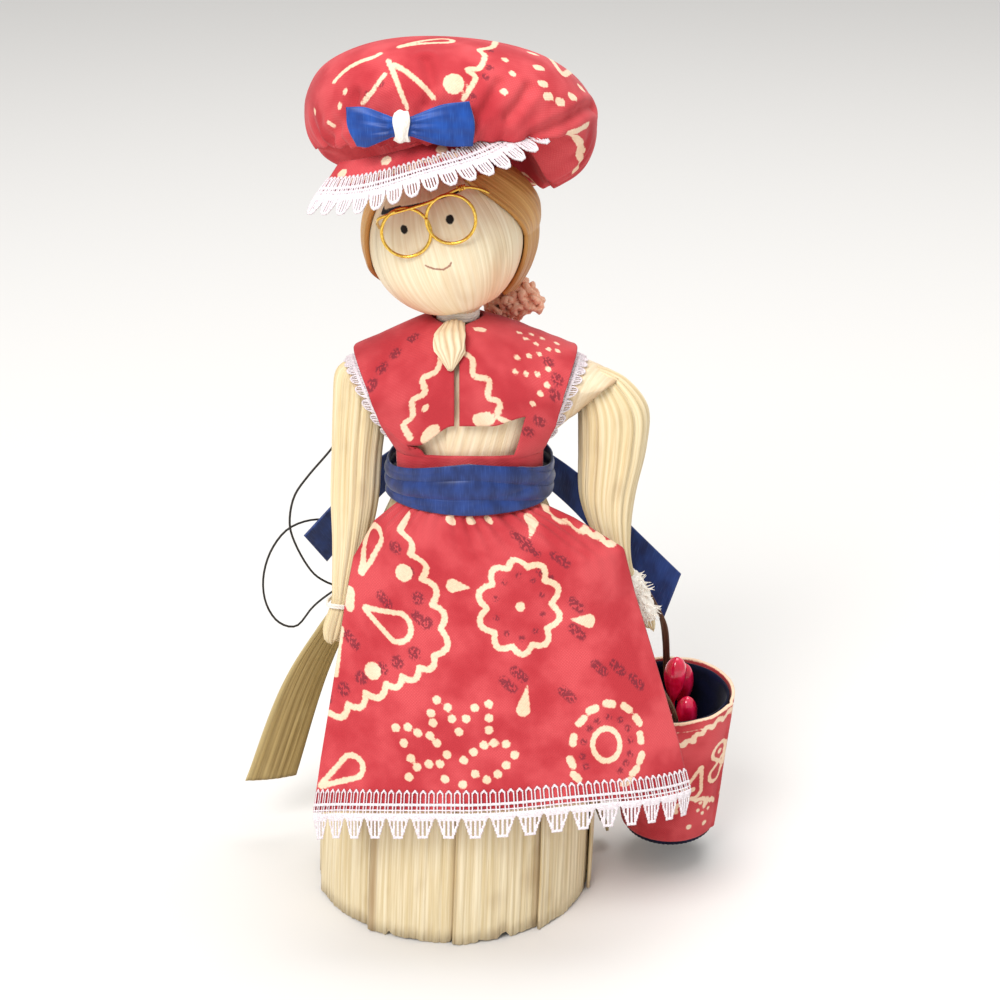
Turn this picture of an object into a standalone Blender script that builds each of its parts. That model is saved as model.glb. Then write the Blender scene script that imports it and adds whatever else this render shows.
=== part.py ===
"""A corn husk doll ornament: husk skirt and body, print cape, apron and hat, and a basket on one arm."""
import math

import bmesh
import bpy
import numpy as np
from mathutils import Vector

MM = 0.001

# Clearances in millimetres
GAP = 0.3
HUSK_T = 0.45
CLOTH_T = 0.4
LACE_T = 0.3
RIBBON_T = 0.4

# Skirt: a bell of husk leaves, tied at the waist
HEM_RADIUS = 24.4
WAIST_HEIGHT = 77.0
WAIST_HALF_WIDTH = 10.4
WAIST_HALF_DEPTH = 9.0
WAIST_SHIFT = 3.1
LEAF_COUNT = 10
LEAF_STEPS = 8
LEAF_OVERLAP_STEPS = 2
LEAF_START = math.radians(-18.0)
SKIRT_FLUTES = 20
FLUTE_DEPTH = 0.22

# Head: a husk cover over a ball, leaning to one side
HEAD_RADIUS = 12.6
HEAD_SHIFT = -0.6
HEAD_ROLL = math.radians(15.6)
HEAD_HUSK_T = 0.6
NECK_SHIFT = 1.3
NECK_RADIUS = 2.7
HAIR_T = 0.7

# Upper body
SHOULDER_RISE = 17.0
SHOULDER_HEIGHT = WAIST_HEIGHT + SHOULDER_RISE
SHOULDER_ROUND = 6.4
SHOULDER_TOP = SHOULDER_HEIGHT + SHOULDER_ROUND
NECK_RISE = 3.4
NECK_LENGTH = 5.6
NECK_HEIGHT = SHOULDER_TOP + NECK_LENGTH
HEAD_SUNK = 0.4
HEAD_HEIGHT = NECK_HEIGHT + HEAD_RADIUS - HEAD_SUNK
CHEST_SHIFT = 3.2
CHEST_DEPTH = 9.7
WAIST_TOP = WAIST_HEIGHT + 2.0
BODICE_WAIST_HALF = 10.2
BODICE_LEFT_REACH = 20.0
BODICE_RIGHT_REACH = 23.0
CAPE_LEFT_REACH = 18.3
CAPE_RIGHT_REACH = 17.0
CAPE_WAIST_HALF = 10.8
LACE_TOOTH_PITCH = 3.5
LACE_TOOTH = 2.7

# Sash and its bow behind
SASH_HEIGHT = 8.4
SASH_DROP = 1.6
SASH_LOW = WAIST_HEIGHT - SASH_DROP
RIBBON_WIDTH = 9.0

# Apron, with lace along its hem
APRON_HEM_HEIGHT = 29.0
APRON_LACE_HEIGHT = 8.0
APRON_TEETH = 17

# Hat
HAT_HALF_WIDTH = 23.4
HAT_HALF_DEPTH = 21.5
HAT_HALF_HEIGHT = 12.4
HAT_RISE = 6.1
HAT_HEIGHT = HEAD_HEIGHT + HEAD_RADIUS + HAT_RISE
HAT_SETBACK = 3.5
HAT_PITCH = math.radians(18.0)
HAT_ROLL = math.radians(4.0)
HAT_GATHERS = 22
HAT_GATHER_DEPTH = 0.5
BRIM_WIDTH = 6.0
BRIM_DROP = 3.7
BRIM_INNER = HEAD_RADIUS + 3.0
BRIM_OUTER = BRIM_INNER + BRIM_WIDTH
BRIM_INNER_RISE = HEAD_RADIUS + 6.0
BRIM_OUTER_RISE = BRIM_INNER_RISE - BRIM_DROP
BRIM_HALF_ANGLE = math.radians(52.0)
BRIM_TEETH = 15
BRIM_LACE = 3.4

# Basket, hung by its handle from one wrist
BASKET_RIM = 11.4
BASKET_FOOT = 8.6
BASKET_DEPTH = 27.0
BASKET_WALL = 0.6
BASKET_HANG = 59.4
BASKET_CENTRE = (38.8, 3.6, SHOULDER_HEIGHT - BASKET_HANG)
BASKET_AXIS = (-0.02, -0.09, 1.0)
BASKET_SIDES = 28
HANDLE_WIDTH = 1.3
HANDLE_T = 0.5

# Spectacles and thread
WIRE_RADIUS = 0.25
LENS_RADIUS = 3.85
THREAD_RADIUS = 0.2


def clear_scene():
    for thing in list(bpy.data.objects):
        bpy.data.objects.remove(thing, do_unlink=True)


def finish(name, colour, roughness=0.7, metallic=0.0):
    """A material of one colour for one kind of piece."""
    material = bpy.data.materials.get(name) or bpy.data.materials.new(name)
    material.use_nodes = True
    shader = material.node_tree.nodes["Principled BSDF"]
    shader.inputs["Base Color"].default_value = (*colour, 1.0)
    shader.inputs["Roughness"].default_value = roughness
    shader.inputs["Metallic"].default_value = metallic
    return material


HUSK = ("husk", (0.80, 0.67, 0.38), 0.65)
HUSK_PALE = ("husk_pale", (0.86, 0.74, 0.50), 0.6)
HUSK_SHADE = ("husk_shade", (0.55, 0.43, 0.22), 0.7)
HAIR = ("husk_dyed_tan", (0.60, 0.36, 0.16), 0.5)
YARN = ("yarn", (0.72, 0.26, 0.16), 0.9)
PRINT = ("red_print_cotton", (0.62, 0.06, 0.07), 0.85)
LINING = ("navy_cotton", (0.01, 0.02, 0.10), 0.85)
SATIN = ("blue_satin", (0.02, 0.07, 0.30), 0.4)
LACE = ("white_lace", (0.85, 0.85, 0.85), 0.8)
STRING = ("white_string", (0.88, 0.87, 0.84), 0.8)
BRASS = ("gold_wire", (0.80, 0.58, 0.16), 0.25, 1.0)
BERRY = ("berry_gloss", (0.62, 0.01, 0.08), 0.2)
STRIP = ("brown_strip", (0.16, 0.08, 0.04), 0.6)
BALL = ("white_ball", (0.85, 0.84, 0.80), 0.8)
THREAD = ("dark_thread", (0.02, 0.02, 0.02), 0.6)


def smooth(mesh):
    mesh.shade_smooth()
    mesh.set_sharp_from_angle(angle=math.radians(40.0))


def solid(name, points, faces, look):
    """One closed piece from points in millimetres."""
    mesh = bpy.data.meshes.new(name)
    mesh.from_pydata([tuple(c * MM for c in p) for p in points], [], faces)
    work = bmesh.new()
    work.from_mesh(mesh)
    bmesh.ops.recalc_face_normals(work, faces=work.faces)
    work.to_mesh(mesh)
    work.free()
    smooth(mesh)
    piece = bpy.data.objects.new(name, mesh)
    bpy.context.scene.collection.objects.link(piece)
    piece.data.materials.append(finish(*look))
    return piece


def cell_quads(rows, cols, keep, ring):
    """The grid's cells as four corner numbers each."""
    last = cols if ring else cols - 1
    return [(r * cols + c, r * cols + (c + 1) % cols, (r + 1) * cols + (c + 1) % cols, (r + 1) * cols + c)
            for r in range(rows - 1) for c in range(last) if keep is None or keep(r, c)]


def panel(name, outer, inner, look, keep=None, ring=False):
    """A closed sheet between two grids of points, rows by columns."""
    outer = np.array(outer, dtype=float)
    inner = np.array(inner, dtype=float)
    rows, cols = outer.shape[:2]
    quads = cell_quads(rows, cols, keep, ring)
    used = sorted({k for q in quads for k in q})
    place = {k: i for i, k in enumerate(used)}
    points = [outer.reshape(-1, 3)[k] for k in used] + [inner.reshape(-1, 3)[k] for k in used]
    count = len(used)
    faces = []
    edges = {}
    for q in quads:
        q = tuple(place[k] for k in q)
        faces.append(q)
        faces.append(tuple(k + count for k in reversed(q)))
        for a, b in zip(q, q[1:] + q[:1]):
            edges[(a, b)] = True
    for a, b in edges:
        if (b, a) not in edges:
            faces.append((b, a, a + count, b + count))
    return solid(name, points, faces, look)


def sheet(name, grid, thickness, look, keep=None, ring=False):
    """A closed sheet of even thickness about a grid of points."""
    grid = np.array(grid, dtype=float)
    rows, cols = grid.shape[:2]
    flat = grid.reshape(-1, 3)
    normals = np.zeros_like(flat)
    for q in cell_quads(rows, cols, keep, ring):
        normal = np.cross(flat[q[2]] - flat[q[0]], flat[q[3]] - flat[q[1]])
        for k in q:
            normals[k] += normal
    lengths = np.linalg.norm(normals, axis=1, keepdims=True)
    normals = (normals / np.maximum(lengths, 1e-9)).reshape(grid.shape)
    half = thickness / 2
    return panel(name, grid + half * normals, grid - half * normals, look, keep, ring)


def loft(name, rings, look):
    """A closed solid through rings of points, with a flat cap at each end."""
    count = len(rings[0])
    points = [tuple(p) for ring in rings for p in ring]
    faces = []
    for r in range(len(rings) - 1):
        for c in range(count):
            a = r * count + c
            b = r * count + (c + 1) % count
            faces.append((a, b, b + count, a + count))
    faces.append(tuple(reversed(range(count))))
    start = (len(rings) - 1) * count
    faces.append(tuple(range(start, start + count)))
    return solid(name, points, faces, look)


def smooth_route(points, count):
    """Evenly spaced points on a Catmull-Rom curve through the given ones."""
    pts = [Vector(p) for p in points]
    pts = [2 * pts[0] - pts[1]] + pts + [2 * pts[-1] - pts[-2]]
    fine = []
    for a, b, c, d in zip(pts, pts[1:], pts[2:], pts[3:]):
        for step in range(12):
            t = step / 12
            fine.append(0.5 * ((2 * b) + (c - a) * t + (2 * a - 5 * b + 4 * c - d) * t * t
                               + (3 * b - a - 3 * c + d) * t ** 3))
    fine.append(pts[-2])
    runs = [0.0]
    for a, b in zip(fine, fine[1:]):
        runs.append(runs[-1] + (b - a).length)
    wanted = np.linspace(0.0, runs[-1], count)
    axes = [np.interp(wanted, runs, [p[k] for p in fine]) for k in range(3)]
    return np.array(axes).T


def tube(name, points, radius, sides, look, flat=1.0):
    """A closed tube along a route; flat narrows it in one direction."""
    pts = np.array(points, dtype=float)
    tangents = np.gradient(pts, axis=0)
    tangents /= np.linalg.norm(tangents, axis=1, keepdims=True)
    side = np.cross(tangents[0], (0.31, 0.87, 0.38))
    rings = []
    for p, t in zip(pts, tangents):
        side = side - t * side.dot(t)
        side /= np.linalg.norm(side)
        up = np.cross(t, side)
        rings.append([p + radius * (math.cos(a) * side + flat * math.sin(a) * up)
                      for a in np.linspace(0, 2 * math.pi, sides, endpoint=False)])
    return loft(name, rings, look)


def oval_ring(centre, half_width, half_depth, count, flutes=0, depth=0.0, turn=0.0):
    """Points round an oval in a level plane, with an even ripple."""
    ring = []
    for a in np.linspace(0, 2 * math.pi, count, endpoint=False):
        swell = 1.0 + depth * math.cos(flutes * a) / max(half_width, half_depth)
        x = half_width * swell * math.cos(a)
        y = half_depth * swell * math.sin(a)
        ring.append((centre[0] + x * math.cos(turn) - y * math.sin(turn),
                     centre[1] + x * math.sin(turn) + y * math.cos(turn), centre[2]))
    return ring


# Skirt

LEAF_PITCH_STEPS = LEAF_STEPS - LEAF_OVERLAP_STEPS
LEAF_FALL = (HUSK_T + GAP) * LEAF_STEPS / LEAF_PITCH_STEPS
SKIRT_OUT = LEAF_FALL / 2 + HUSK_T / 2
SKIRT_BELL = 2.6
SKIRT_CLOSE = 0.92
HEM_UPRIGHT = 6.0


def skirt_axis(height):
    return WAIST_SHIFT * height / WAIST_HEIGHT


def skirt_halves(height):
    """The bell's half width and half depth at a height."""
    share = (1.0 - min(1.0, height / WAIST_HEIGHT) ** SKIRT_BELL) ** SKIRT_CLOSE
    return (WAIST_HALF_WIDTH + (HEM_RADIUS - WAIST_HALF_WIDTH) * share,
            WAIST_HALF_DEPTH + (HEM_RADIUS - WAIST_HALF_DEPTH) * share)


def skirt_base(angle, height):
    half_width, half_depth = skirt_halves(height)
    flute = FLUTE_DEPTH * math.cos(SKIRT_FLUTES * angle)
    return Vector((skirt_axis(height) + (half_width + flute) * math.cos(angle),
                   (half_depth + flute) * math.sin(angle), height))


def skirt_point(angle, height, out):
    """A point on the skirt, moved outwards; the hem row stays level."""
    small = 0.05
    low = max(0.0, height - small)
    high = min(WAIST_HEIGHT - 1e-6, height + small)
    around = skirt_base(angle + 0.01, height) - skirt_base(angle - 0.01, height)
    upward = skirt_base(angle, high) - skirt_base(angle, low)
    normal = around.cross(upward)
    normal.z *= min(1.0, height / HEM_UPRIGHT)
    return skirt_base(angle, height) + out * normal.normalized()


def skirt_heights(rows):
    return [WAIST_HEIGHT * (1.0 - (1.0 - k / (rows - 1)) ** 1.5) for k in range(rows)]


def make_skirt():
    step = 2 * math.pi / (LEAF_COUNT * LEAF_PITCH_STEPS)
    for leaf in range(LEAF_COUNT):
        outer = []
        inner = []
        for height in skirt_heights(8):
            places = [(LEAF_START + (leaf * LEAF_PITCH_STEPS + c) * step, LEAF_FALL * (0.5 - c / LEAF_STEPS))
                      for c in range(LEAF_STEPS + 1)]
            outer.append([skirt_point(a, height, out + HUSK_T / 2) for a, out in places])
            inner.append([skirt_point(a, height, out - HUSK_T / 2) for a, out in places])
        panel("skirt_husk_%02d" % (leaf + 1), outer, inner, HUSK)


WAIST_TIE_RADIUS = 0.25
WAIST_TIE_DROP = 0.6


def band_ring(name, centre, inner, outer, low, high, look, sides=28):
    """A round or oval band standing round an upright axis."""
    rows_out = []
    rows_in = []
    for share, bulge in ((0.0, 0.0), (0.5, 1.0), (1.0, 0.0)):
        z = low + (high - low) * share
        place = (centre[0], centre[1], z)
        swell = [inner[k] + (outer[k] - inner[k]) * (0.6 + 0.4 * bulge) for k in (0, 1)]
        rows_out.append(oval_ring(place, swell[0], swell[1], sides))
        rows_in.append(oval_ring(place, inner[0], inner[1], sides))
    return panel(name, rows_out, rows_in, look, ring=True)


def make_waist_tie():
    height = WAIST_HEIGHT - WAIST_TIE_DROP
    halves = skirt_halves(height)
    inner = [half + FLUTE_DEPTH + SKIRT_OUT + 1.5 * GAP for half in halves]
    outer = [half + 2 * WAIST_TIE_RADIUS for half in inner]
    centre = (skirt_axis(height), 0.0)
    low = height - WAIST_TIE_RADIUS
    band_ring("waist_tie", centre, inner, outer, low, height + WAIST_TIE_RADIUS, STRING, 24)


# Body and arms

# Torso sections: height above the waist as a share of the shoulder's rise, half width, half depth
TORSO = (
    (-0.41, 8.4, 6.8),
    (0.0, 9.0, 7.6),
    (0.41, 8.6, 6.6),
    (0.88, 8.8, 6.2),
    (1.2, 7.6, 5.2),
    (1.41, 4.4, 3.8),
)
TORSO_FLUTES = 12
TORSO_TOP_RADIUS = NECK_RADIUS + 0.4
NECK_FOOT = NECK_HEIGHT - 1.6


def make_torso():
    rings = []
    for share, half_width, half_depth in TORSO:
        toward_neck = max(0.0, (share - 0.88) / 0.88)
        height = WAIST_HEIGHT + SHOULDER_RISE * share
        centre = (CHEST_SHIFT + (NECK_SHIFT - CHEST_SHIFT) * toward_neck, 0.0, height)
        rings.append(oval_ring(centre, half_width, half_depth, 24, TORSO_FLUTES, 0.15))
    rings.append(oval_ring((NECK_SHIFT, 0.0, NECK_FOOT - GAP), TORSO_TOP_RADIUS, TORSO_TOP_RADIUS, 24))
    loft("torso_husk", rings, HUSK)


ROUND_SHARE = 0.45
TUCKED_SHARE = 0.82
SHOULDER_SPREAD = 11.5
SHOULDER_SLANT = 0.03
CHEST_ROUND = 26.0


def shoulder_ridge(x):
    """Height of the shoulder line: highest at the neck."""
    away = x - NECK_SHIFT
    return SHOULDER_TOP + NECK_RISE * math.exp(-(away / SHOULDER_SPREAD) ** 2) + SHOULDER_SLANT * away


def chest_round(share):
    below = max(0.0, (abs(share) - ROUND_SHARE) / (TUCKED_SHARE - ROUND_SHARE))
    return CHEST_ROUND + (BODICE_WAIST_HALF + 1.4 - CHEST_ROUND) * min(1.0, below) ** 0.8


def body_base(aside, share):
    """The upper body's surface, from front waist (-1) over the shoulder (0) to back waist (1)."""
    x = CHEST_SHIFT + aside
    around = min(0.985, abs(aside) / chest_round(share))
    depth = CHEST_DEPTH * math.sqrt(1.0 - around ** 2)
    facing = -1.0 if share < 0 else 1.0
    if abs(share) <= ROUND_SHARE:
        turn = abs(share) / ROUND_SHARE * math.pi / 2
        height = SHOULDER_HEIGHT + (shoulder_ridge(x) - SHOULDER_HEIGHT) * math.cos(turn)
        return Vector((x, facing * depth * math.sin(turn), height))
    below = (abs(share) - ROUND_SHARE) / (1.0 - ROUND_SHARE)
    return Vector((x, facing * depth, SHOULDER_HEIGHT - (SHOULDER_HEIGHT - WAIST_TOP) * below))


def body_point(aside, share, out):
    along = body_base(aside, min(1.0, share + 0.02)) - body_base(aside, max(-1.0, share - 0.02))
    across = body_base(aside + 0.3, share) - body_base(aside - 0.3, share)
    normal = across.cross(along).normalized()
    return body_base(aside, share) + out * normal


def reach(share, top, waist, fullness):
    """How far a shoulder piece reaches sideways, from its shoulder to the waist."""
    return waist + (top - waist) * (1.0 - min(1.0, abs(share) / TUCKED_SHARE) ** fullness)


NECK_ASIDE = NECK_SHIFT - CHEST_SHIFT
NECK_OPENING = NECK_RADIUS + 1.3
BODICE_ROWS = 13
BODICE_FULLNESS = 2.6
CAPE_FULLNESS = 1.6
BODICE_COLS = 7


def neck_side(share, side, centre_gap):
    """The edge beside the neck opening and, below it, the edge beside the middle line."""
    opening = NECK_ASIDE + side * NECK_OPENING
    closed = side * centre_gap
    blend = min(1.0, max(0.0, (abs(share) - 0.22) / 0.5))
    return opening + (closed - opening) * blend


def make_bodice():
    for name, side, top in (("bodice_husk_left", -1, BODICE_LEFT_REACH),
                            ("bodice_husk_right", 1, BODICE_RIGHT_REACH)):
        grid = []
        for share in np.linspace(-1.0, 1.0, BODICE_ROWS):
            inner = neck_side(share, side, GAP)
            outer = side * reach(share, top, BODICE_WAIST_HALF, BODICE_FULLNESS)
            grid.append([body_point(inner + (outer - inner) * k / (BODICE_COLS - 1), share, 0.0)
                         for k in range(BODICE_COLS)])
        sheet(name, grid, HUSK_T, HUSK_PALE)


# Arm sections: height over the shoulder line, middle x and y, half width and half depth
LEFT_ARM = (
    (4.9, -13.6, 0.0, 3.6, 3.0),
    (1.6, -14.4, 0.0, 4.9, 4.0),
    (-4.0, -15.0, 0.2, 4.9, 4.4),
    (-12.0, -15.8, 0.0, 4.5, 4.6),
    (-20.0, -16.3, -1.5, 4.3, 4.4),
    (-27.0, -17.0, -4.0, 3.3, 3.6),
    (-33.0, -18.0, -6.4, 2.3, 2.5),
    (-37.0, -18.6, -7.4, 1.9, 2.0),
    (-41.0, -19.6, -8.4, 2.3, 2.4),
    (-43.5, -20.2, -9.0, 1.6, 1.8),
)
RIGHT_ARM = (
    (5.7, 22.8, 0.0, 2.4, 2.4),
    (2.8, 24.9, 0.0, 4.8, 3.9),
    (-5.0, 27.0, 0.0, 6.2, 5.0),
    (-12.0, 27.0, 0.0, 6.0, 5.2),
    (-20.0, 26.3, -0.6, 5.0, 4.6),
    (-26.0, 27.0, -1.6, 3.6, 3.6),
    (-32.0, 28.8, -2.6, 2.0, 2.2),
    (-37.0, 31.0, -3.0, 1.6, 1.6),
    (-41.5, 33.2, -3.2, 1.5, 1.5),
    (-44.0, 34.2, -3.2, 1.0, 1.0),
)
WRIST_SECTION = 7
ARM_SIDES = 26
ARM_FLUTES = 13
ARM_FLUTE_SHARE = 0.09


def arm_rings(sections):
    rings = []
    for height, x, y, half_width, half_depth in sections:
        depth = ARM_FLUTE_SHARE * half_width
        centre = (x, y, SHOULDER_HEIGHT + height)
        rings.append(oval_ring(centre, half_width - depth, half_depth - depth, ARM_SIDES, ARM_FLUTES, depth))
    return rings


def sleeve_band(name, sections, clearance, thickness, look):
    """A hollow band that follows an arm between some of its sections."""
    inner = []
    outer = []
    for height, x, y, half_width, half_depth in sections:
        centre = (x, y, SHOULDER_HEIGHT + height)
        inner.append(oval_ring(centre, half_width + clearance, half_depth + clearance, 16))
        edge = clearance + thickness
        outer.append(oval_ring(centre, half_width + edge, half_depth + edge, 16))
    return panel(name, outer, inner, look, ring=True)


def between(a, b, share):
    return tuple(p + (q - p) * share for p, q in zip(a, b))


def make_arms():
    loft("left_arm_husk", arm_rings(LEFT_ARM), HUSK)
    loft("right_arm_husk", arm_rings(RIGHT_ARM), HUSK)
    above, wrist, below = LEFT_ARM[WRIST_SECTION - 1:WRIST_SECTION + 2]
    tie = (between(wrist, above, 0.2), between(wrist, below, 0.25))
    sleeve_band("left_wrist_tie", tie, GAP, 0.5, STRING)
    above, wrist, below = RIGHT_ARM[WRIST_SECTION - 1:WRIST_SECTION + 2]
    cuff = (between(above, wrist, 0.4), wrist, below)
    sleeve_band("right_cuff", cuff, GAP, 0.5, STRING)


# Head and hair

BALL_ROOM = 1.0
BALL_RADIUS = HEAD_RADIUS - HEAD_HUSK_T - BALL_ROOM
HEAD_SIDES = 20
CHIN_ANGLE = math.radians(154.0)
NECK_BORE = 1.9
HAIR_HALVES = (HEAD_RADIUS + 2.55, HEAD_RADIUS + 1.45, HEAD_RADIUS + 1.65)
HAIR_SHIFT = (1.3, 0.8, 0.2)
HAIR_REACH_LOW = math.radians(134.0)
HAIR_REACH_HIGH = math.radians(32.0)


def head_centre():
    return Vector((HEAD_SHIFT, 0.0, HEAD_HEIGHT))


def head_ring(radius, polar):
    return oval_ring((HEAD_SHIFT, 0.0, HEAD_HEIGHT + radius * math.cos(polar)),
                     radius * math.sin(polar), radius * math.sin(polar), HEAD_SIDES)


def neck_ring(radius, height):
    return oval_ring((NECK_SHIFT, 0.0, height), radius, radius, HEAD_SIDES)


def make_head():
    inside = HEAD_RADIUS - HEAD_HUSK_T
    chin = HEAD_HEIGHT + HEAD_RADIUS * math.cos(CHIN_ANGLE)
    rings = [head_ring(HEAD_RADIUS, a) for a in np.linspace(math.radians(5.0), CHIN_ANGLE, 12)]
    rings += [neck_ring(NECK_RADIUS, chin - 0.3), neck_ring(NECK_RADIUS, NECK_FOOT)]
    rings += [neck_ring(NECK_BORE, NECK_FOOT), neck_ring(NECK_BORE, chin + 0.5)]
    rings += [head_ring(inside, a) for a in np.linspace(math.radians(150.0), math.radians(6.0), 8)]
    loft("head_husk", rings, HUSK_PALE)
    lift = inside - GAP - 0.1 - BALL_RADIUS
    centre = HEAD_HEIGHT + lift
    rings = [oval_ring((HEAD_SHIFT, 0.0, centre + BALL_RADIUS * math.cos(a)), BALL_RADIUS * math.sin(a),
                       BALL_RADIUS * math.sin(a), 16) for a in np.linspace(0.12, math.pi - 0.12, 9)]
    loft("head_ball", rings, BALL)
    tie_in = NECK_RADIUS + GAP
    band_ring("neck_tie", (NECK_SHIFT, 0.0), (tie_in, tie_in), (tie_in + 0.6, tie_in + 0.6),
              NECK_FOOT + 0.4, chin - 0.3 - GAP - 0.1, STRING, 20)


def hair_grid(front_edge, back_edge):
    """Hair that hugs the face at its front edge and stands off the head behind."""
    snug = HEAD_RADIUS + GAP + HAIR_T / 2 + 0.15
    rows = []
    for polar in np.linspace(HAIR_REACH_HIGH, HAIR_REACH_LOW, 9):
        start = front_edge(polar)
        row = []
        for k in range(8):
            turn = start + (back_edge - start) * k / 7
            level = math.sin(polar)
            way = Vector((level * math.sin(turn), -level * math.cos(turn), math.cos(polar)))
            hug = head_centre() + snug * way
            full = head_centre() + Vector(HAIR_SHIFT) + Vector([h * w for h, w in zip(HAIR_HALVES, way)])
            blend = min(1.0, k / 2.5)
            row.append(hug.lerp(full, blend * blend * (3 - 2 * blend)))
        rows.append(row)
    return rows


def make_hair():
    def right_edge(polar):
        lower = min(1.0, (polar - HAIR_REACH_HIGH) / math.radians(55.0))
        return math.radians(28.0) + lower * math.radians(58.0)

    def left_edge(polar):
        return -math.radians(74.0)

    back = math.radians(178.0)
    sheet("hair_right", hair_grid(right_edge, back), HAIR_T, HAIR)
    sheet("hair_left", hair_grid(left_edge, -back), HAIR_T, HAIR)


YARN_CENTRE = (10.4, 11.2, NECK_HEIGHT - 1.1)
YARN_HALVES = (5.6, 4.4, 3.5)


def make_yarn_tie():
    rings = []
    for k, polar in enumerate(np.linspace(0.35, math.pi - 0.35, 7)):
        place = (YARN_CENTRE[0], YARN_CENTRE[1], YARN_CENTRE[2] + YARN_HALVES[2] * math.cos(polar))
        rings.append(oval_ring(place, YARN_HALVES[0] * math.sin(polar), YARN_HALVES[1] * math.sin(polar),
                               16, 5 if k % 2 else 4, 0.35, 0.4 * k))
    loft("hair_tie_yarn", rings, YARN)


def make_throat_knot():
    centre = NECK_ASIDE - 0.9
    route = [Vector((NECK_SHIFT - 0.5, -4.5, NECK_FOOT + 0.2))]
    route += [body_point(centre, share, rise) for share, rise in ((-0.25, 3.8), (-0.33, 3.6), (-0.42, 3.0))]
    widths = (1.3, 2.5, 1.9, 0.4)
    depths = (0.5, 0.8, 0.7, 0.25)
    rings = []
    for place, wide, deep in zip(route, widths, depths):
        rings.append([place + Vector((wide * math.cos(a), -0.6 * deep * math.sin(a), deep * math.sin(a)))
                      for a in np.linspace(0, 2 * math.pi, 10, endpoint=False)])
    loft("throat_knot", rings, HUSK_PALE)


# Cape and its lace

CAPE_OUT = HUSK_T / 2 + GAP + LACE_T + GAP + CLOTH_T / 2 + 0.05
CAPE_LACE_OUT = HUSK_T / 2 + GAP + LACE_T / 2 + 0.02
CAPE_LOFT = 0.7
CAPE_SHARES = (-1.0, -0.86, -0.73, -0.6, -0.48, -0.36, -0.24, -0.12, 0.0, 0.12, 0.24, 0.36, 0.5, 0.75, 1.0)
CAPE_LOBE_SHARE = -0.6
CAPE_CLOSED_SHARE = 0.24
CAPE_STRAP = 4.5
SLIT_HALF = 0.4


def cape_out(share):
    """The cape lies close at the waist and stands off a little more at the shoulders."""
    return CAPE_OUT + CAPE_LOFT * (1.0 - abs(share))


def cape_reach(share, side):
    top = CAPE_LEFT_REACH if side < 0 else CAPE_RIGHT_REACH
    return side * reach(share, top, CAPE_WAIST_HALF, CAPE_FULLNESS)


def cape_columns(share):
    """Sideways places of the cape's columns: strap, lobe, slit, lobe, strap."""
    sides = []
    for side in (-1, 1):
        outer = cape_reach(share, side)
        slit = NECK_ASIDE + side * SLIT_HALF
        opening = NECK_ASIDE + side * NECK_OPENING
        open_share = max(0.0, 1.0 - (abs(share) / CAPE_CLOSED_SHARE) ** 2)
        inner = slit + (opening - slit) * open_share
        strap = outer - side * CAPE_STRAP
        sides.append([outer, (outer + strap) / 2, strap, (strap + inner) / 2, inner])
    return sides[0] + sides[1][::-1]


def keep_cape_cell(row, col):
    """Leave out the slit, the neck opening and the chest below the lobes."""
    low = CAPE_SHARES[row]
    high = CAPE_SHARES[row + 1]
    if col == 4:
        return low >= CAPE_CLOSED_SHARE
    if high <= CAPE_LOBE_SHARE:
        return col in (0, 1, 7, 8)
    return True


def make_cape():
    grid = [[body_point(aside, share, cape_out(share)) for aside in cape_columns(share)]
            for share in CAPE_SHARES]
    sheet("cape", grid, CLOTH_T, PRINT, keep_cape_cell)
    for name, side in (("cape_lace_left", -1), ("cape_lace_right", 1)):
        toothed_edge(name, side)


LACE_TUCK = 1.0
LACE_VALLEY = 0.6
LACE_SHARE_END = 0.86


def toothed_edge(name, side):
    """Lace behind the cape's edge, its teeth standing out past it."""
    fine = np.linspace(-LACE_SHARE_END, LACE_SHARE_END, 60)
    edge = [body_point(cape_reach(s, side), s, CAPE_LACE_OUT) for s in fine]
    length = sum((b - a).length for a, b in zip(edge, edge[1:]))
    teeth = round(length / LACE_TOOTH_PITCH)
    rows = [[], []]
    for k in range(4 * teeth + 1):
        share = -LACE_SHARE_END + 2 * LACE_SHARE_END * k / (4 * teeth)
        outer = cape_reach(share, side)
        tucked = body_point(outer - side * LACE_TUCK, share, CAPE_LACE_OUT)
        hem = body_point(outer, share, CAPE_LACE_OUT)
        reach_out = LACE_TOOTH if k % 4 in (2, 3) else LACE_VALLEY
        rows[0].append(tucked)
        rows[1].append(hem + (hem - tucked).normalized() * reach_out)
    sheet(name, rows, LACE_T, LACE)


# Sash and the bow behind

SASH_HALF_WIDTH = 13.85
SASH_HALF_DEPTH = 12.75
SASH_SIDE_DROP = 3.4
BOW_KNOT = (3.1, 15.1, WAIST_HEIGHT + 0.6)
RIGHT_TAIL = ((6.2, 15.4, 0.0), (13.0, 15.8, -2.5), (22.0, 14.6, -9.0), (31.0, 12.6, -18.5),
              (39.2, 11.0, -27.2))
LEFT_TAIL = ((0.2, 15.4, 0.4), (-6.0, 15.4, -1.0), (-13.0, 13.8, -5.5), (-19.5, 11.4, -12.2),
             (-24.5, 9.4, -17.4))
TAIL_WIDTHS = (4.5, RIBBON_WIDTH)
RIGHT_TAIL_ACROSS = ((0.0, 0.0, 1.0), (0.31, 0.0, 0.95))
LEFT_TAIL_ACROSS = ((0.0, 0.0, 1.0), (-0.35, -0.55, 0.75))
KNOT_SECTIONS = ((-3.2, 1.2, 0.8), (-2.0, 2.2, 1.4), (0.0, 2.5, 1.7), (2.0, 2.2, 1.4), (3.2, 1.2, 0.8))


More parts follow.
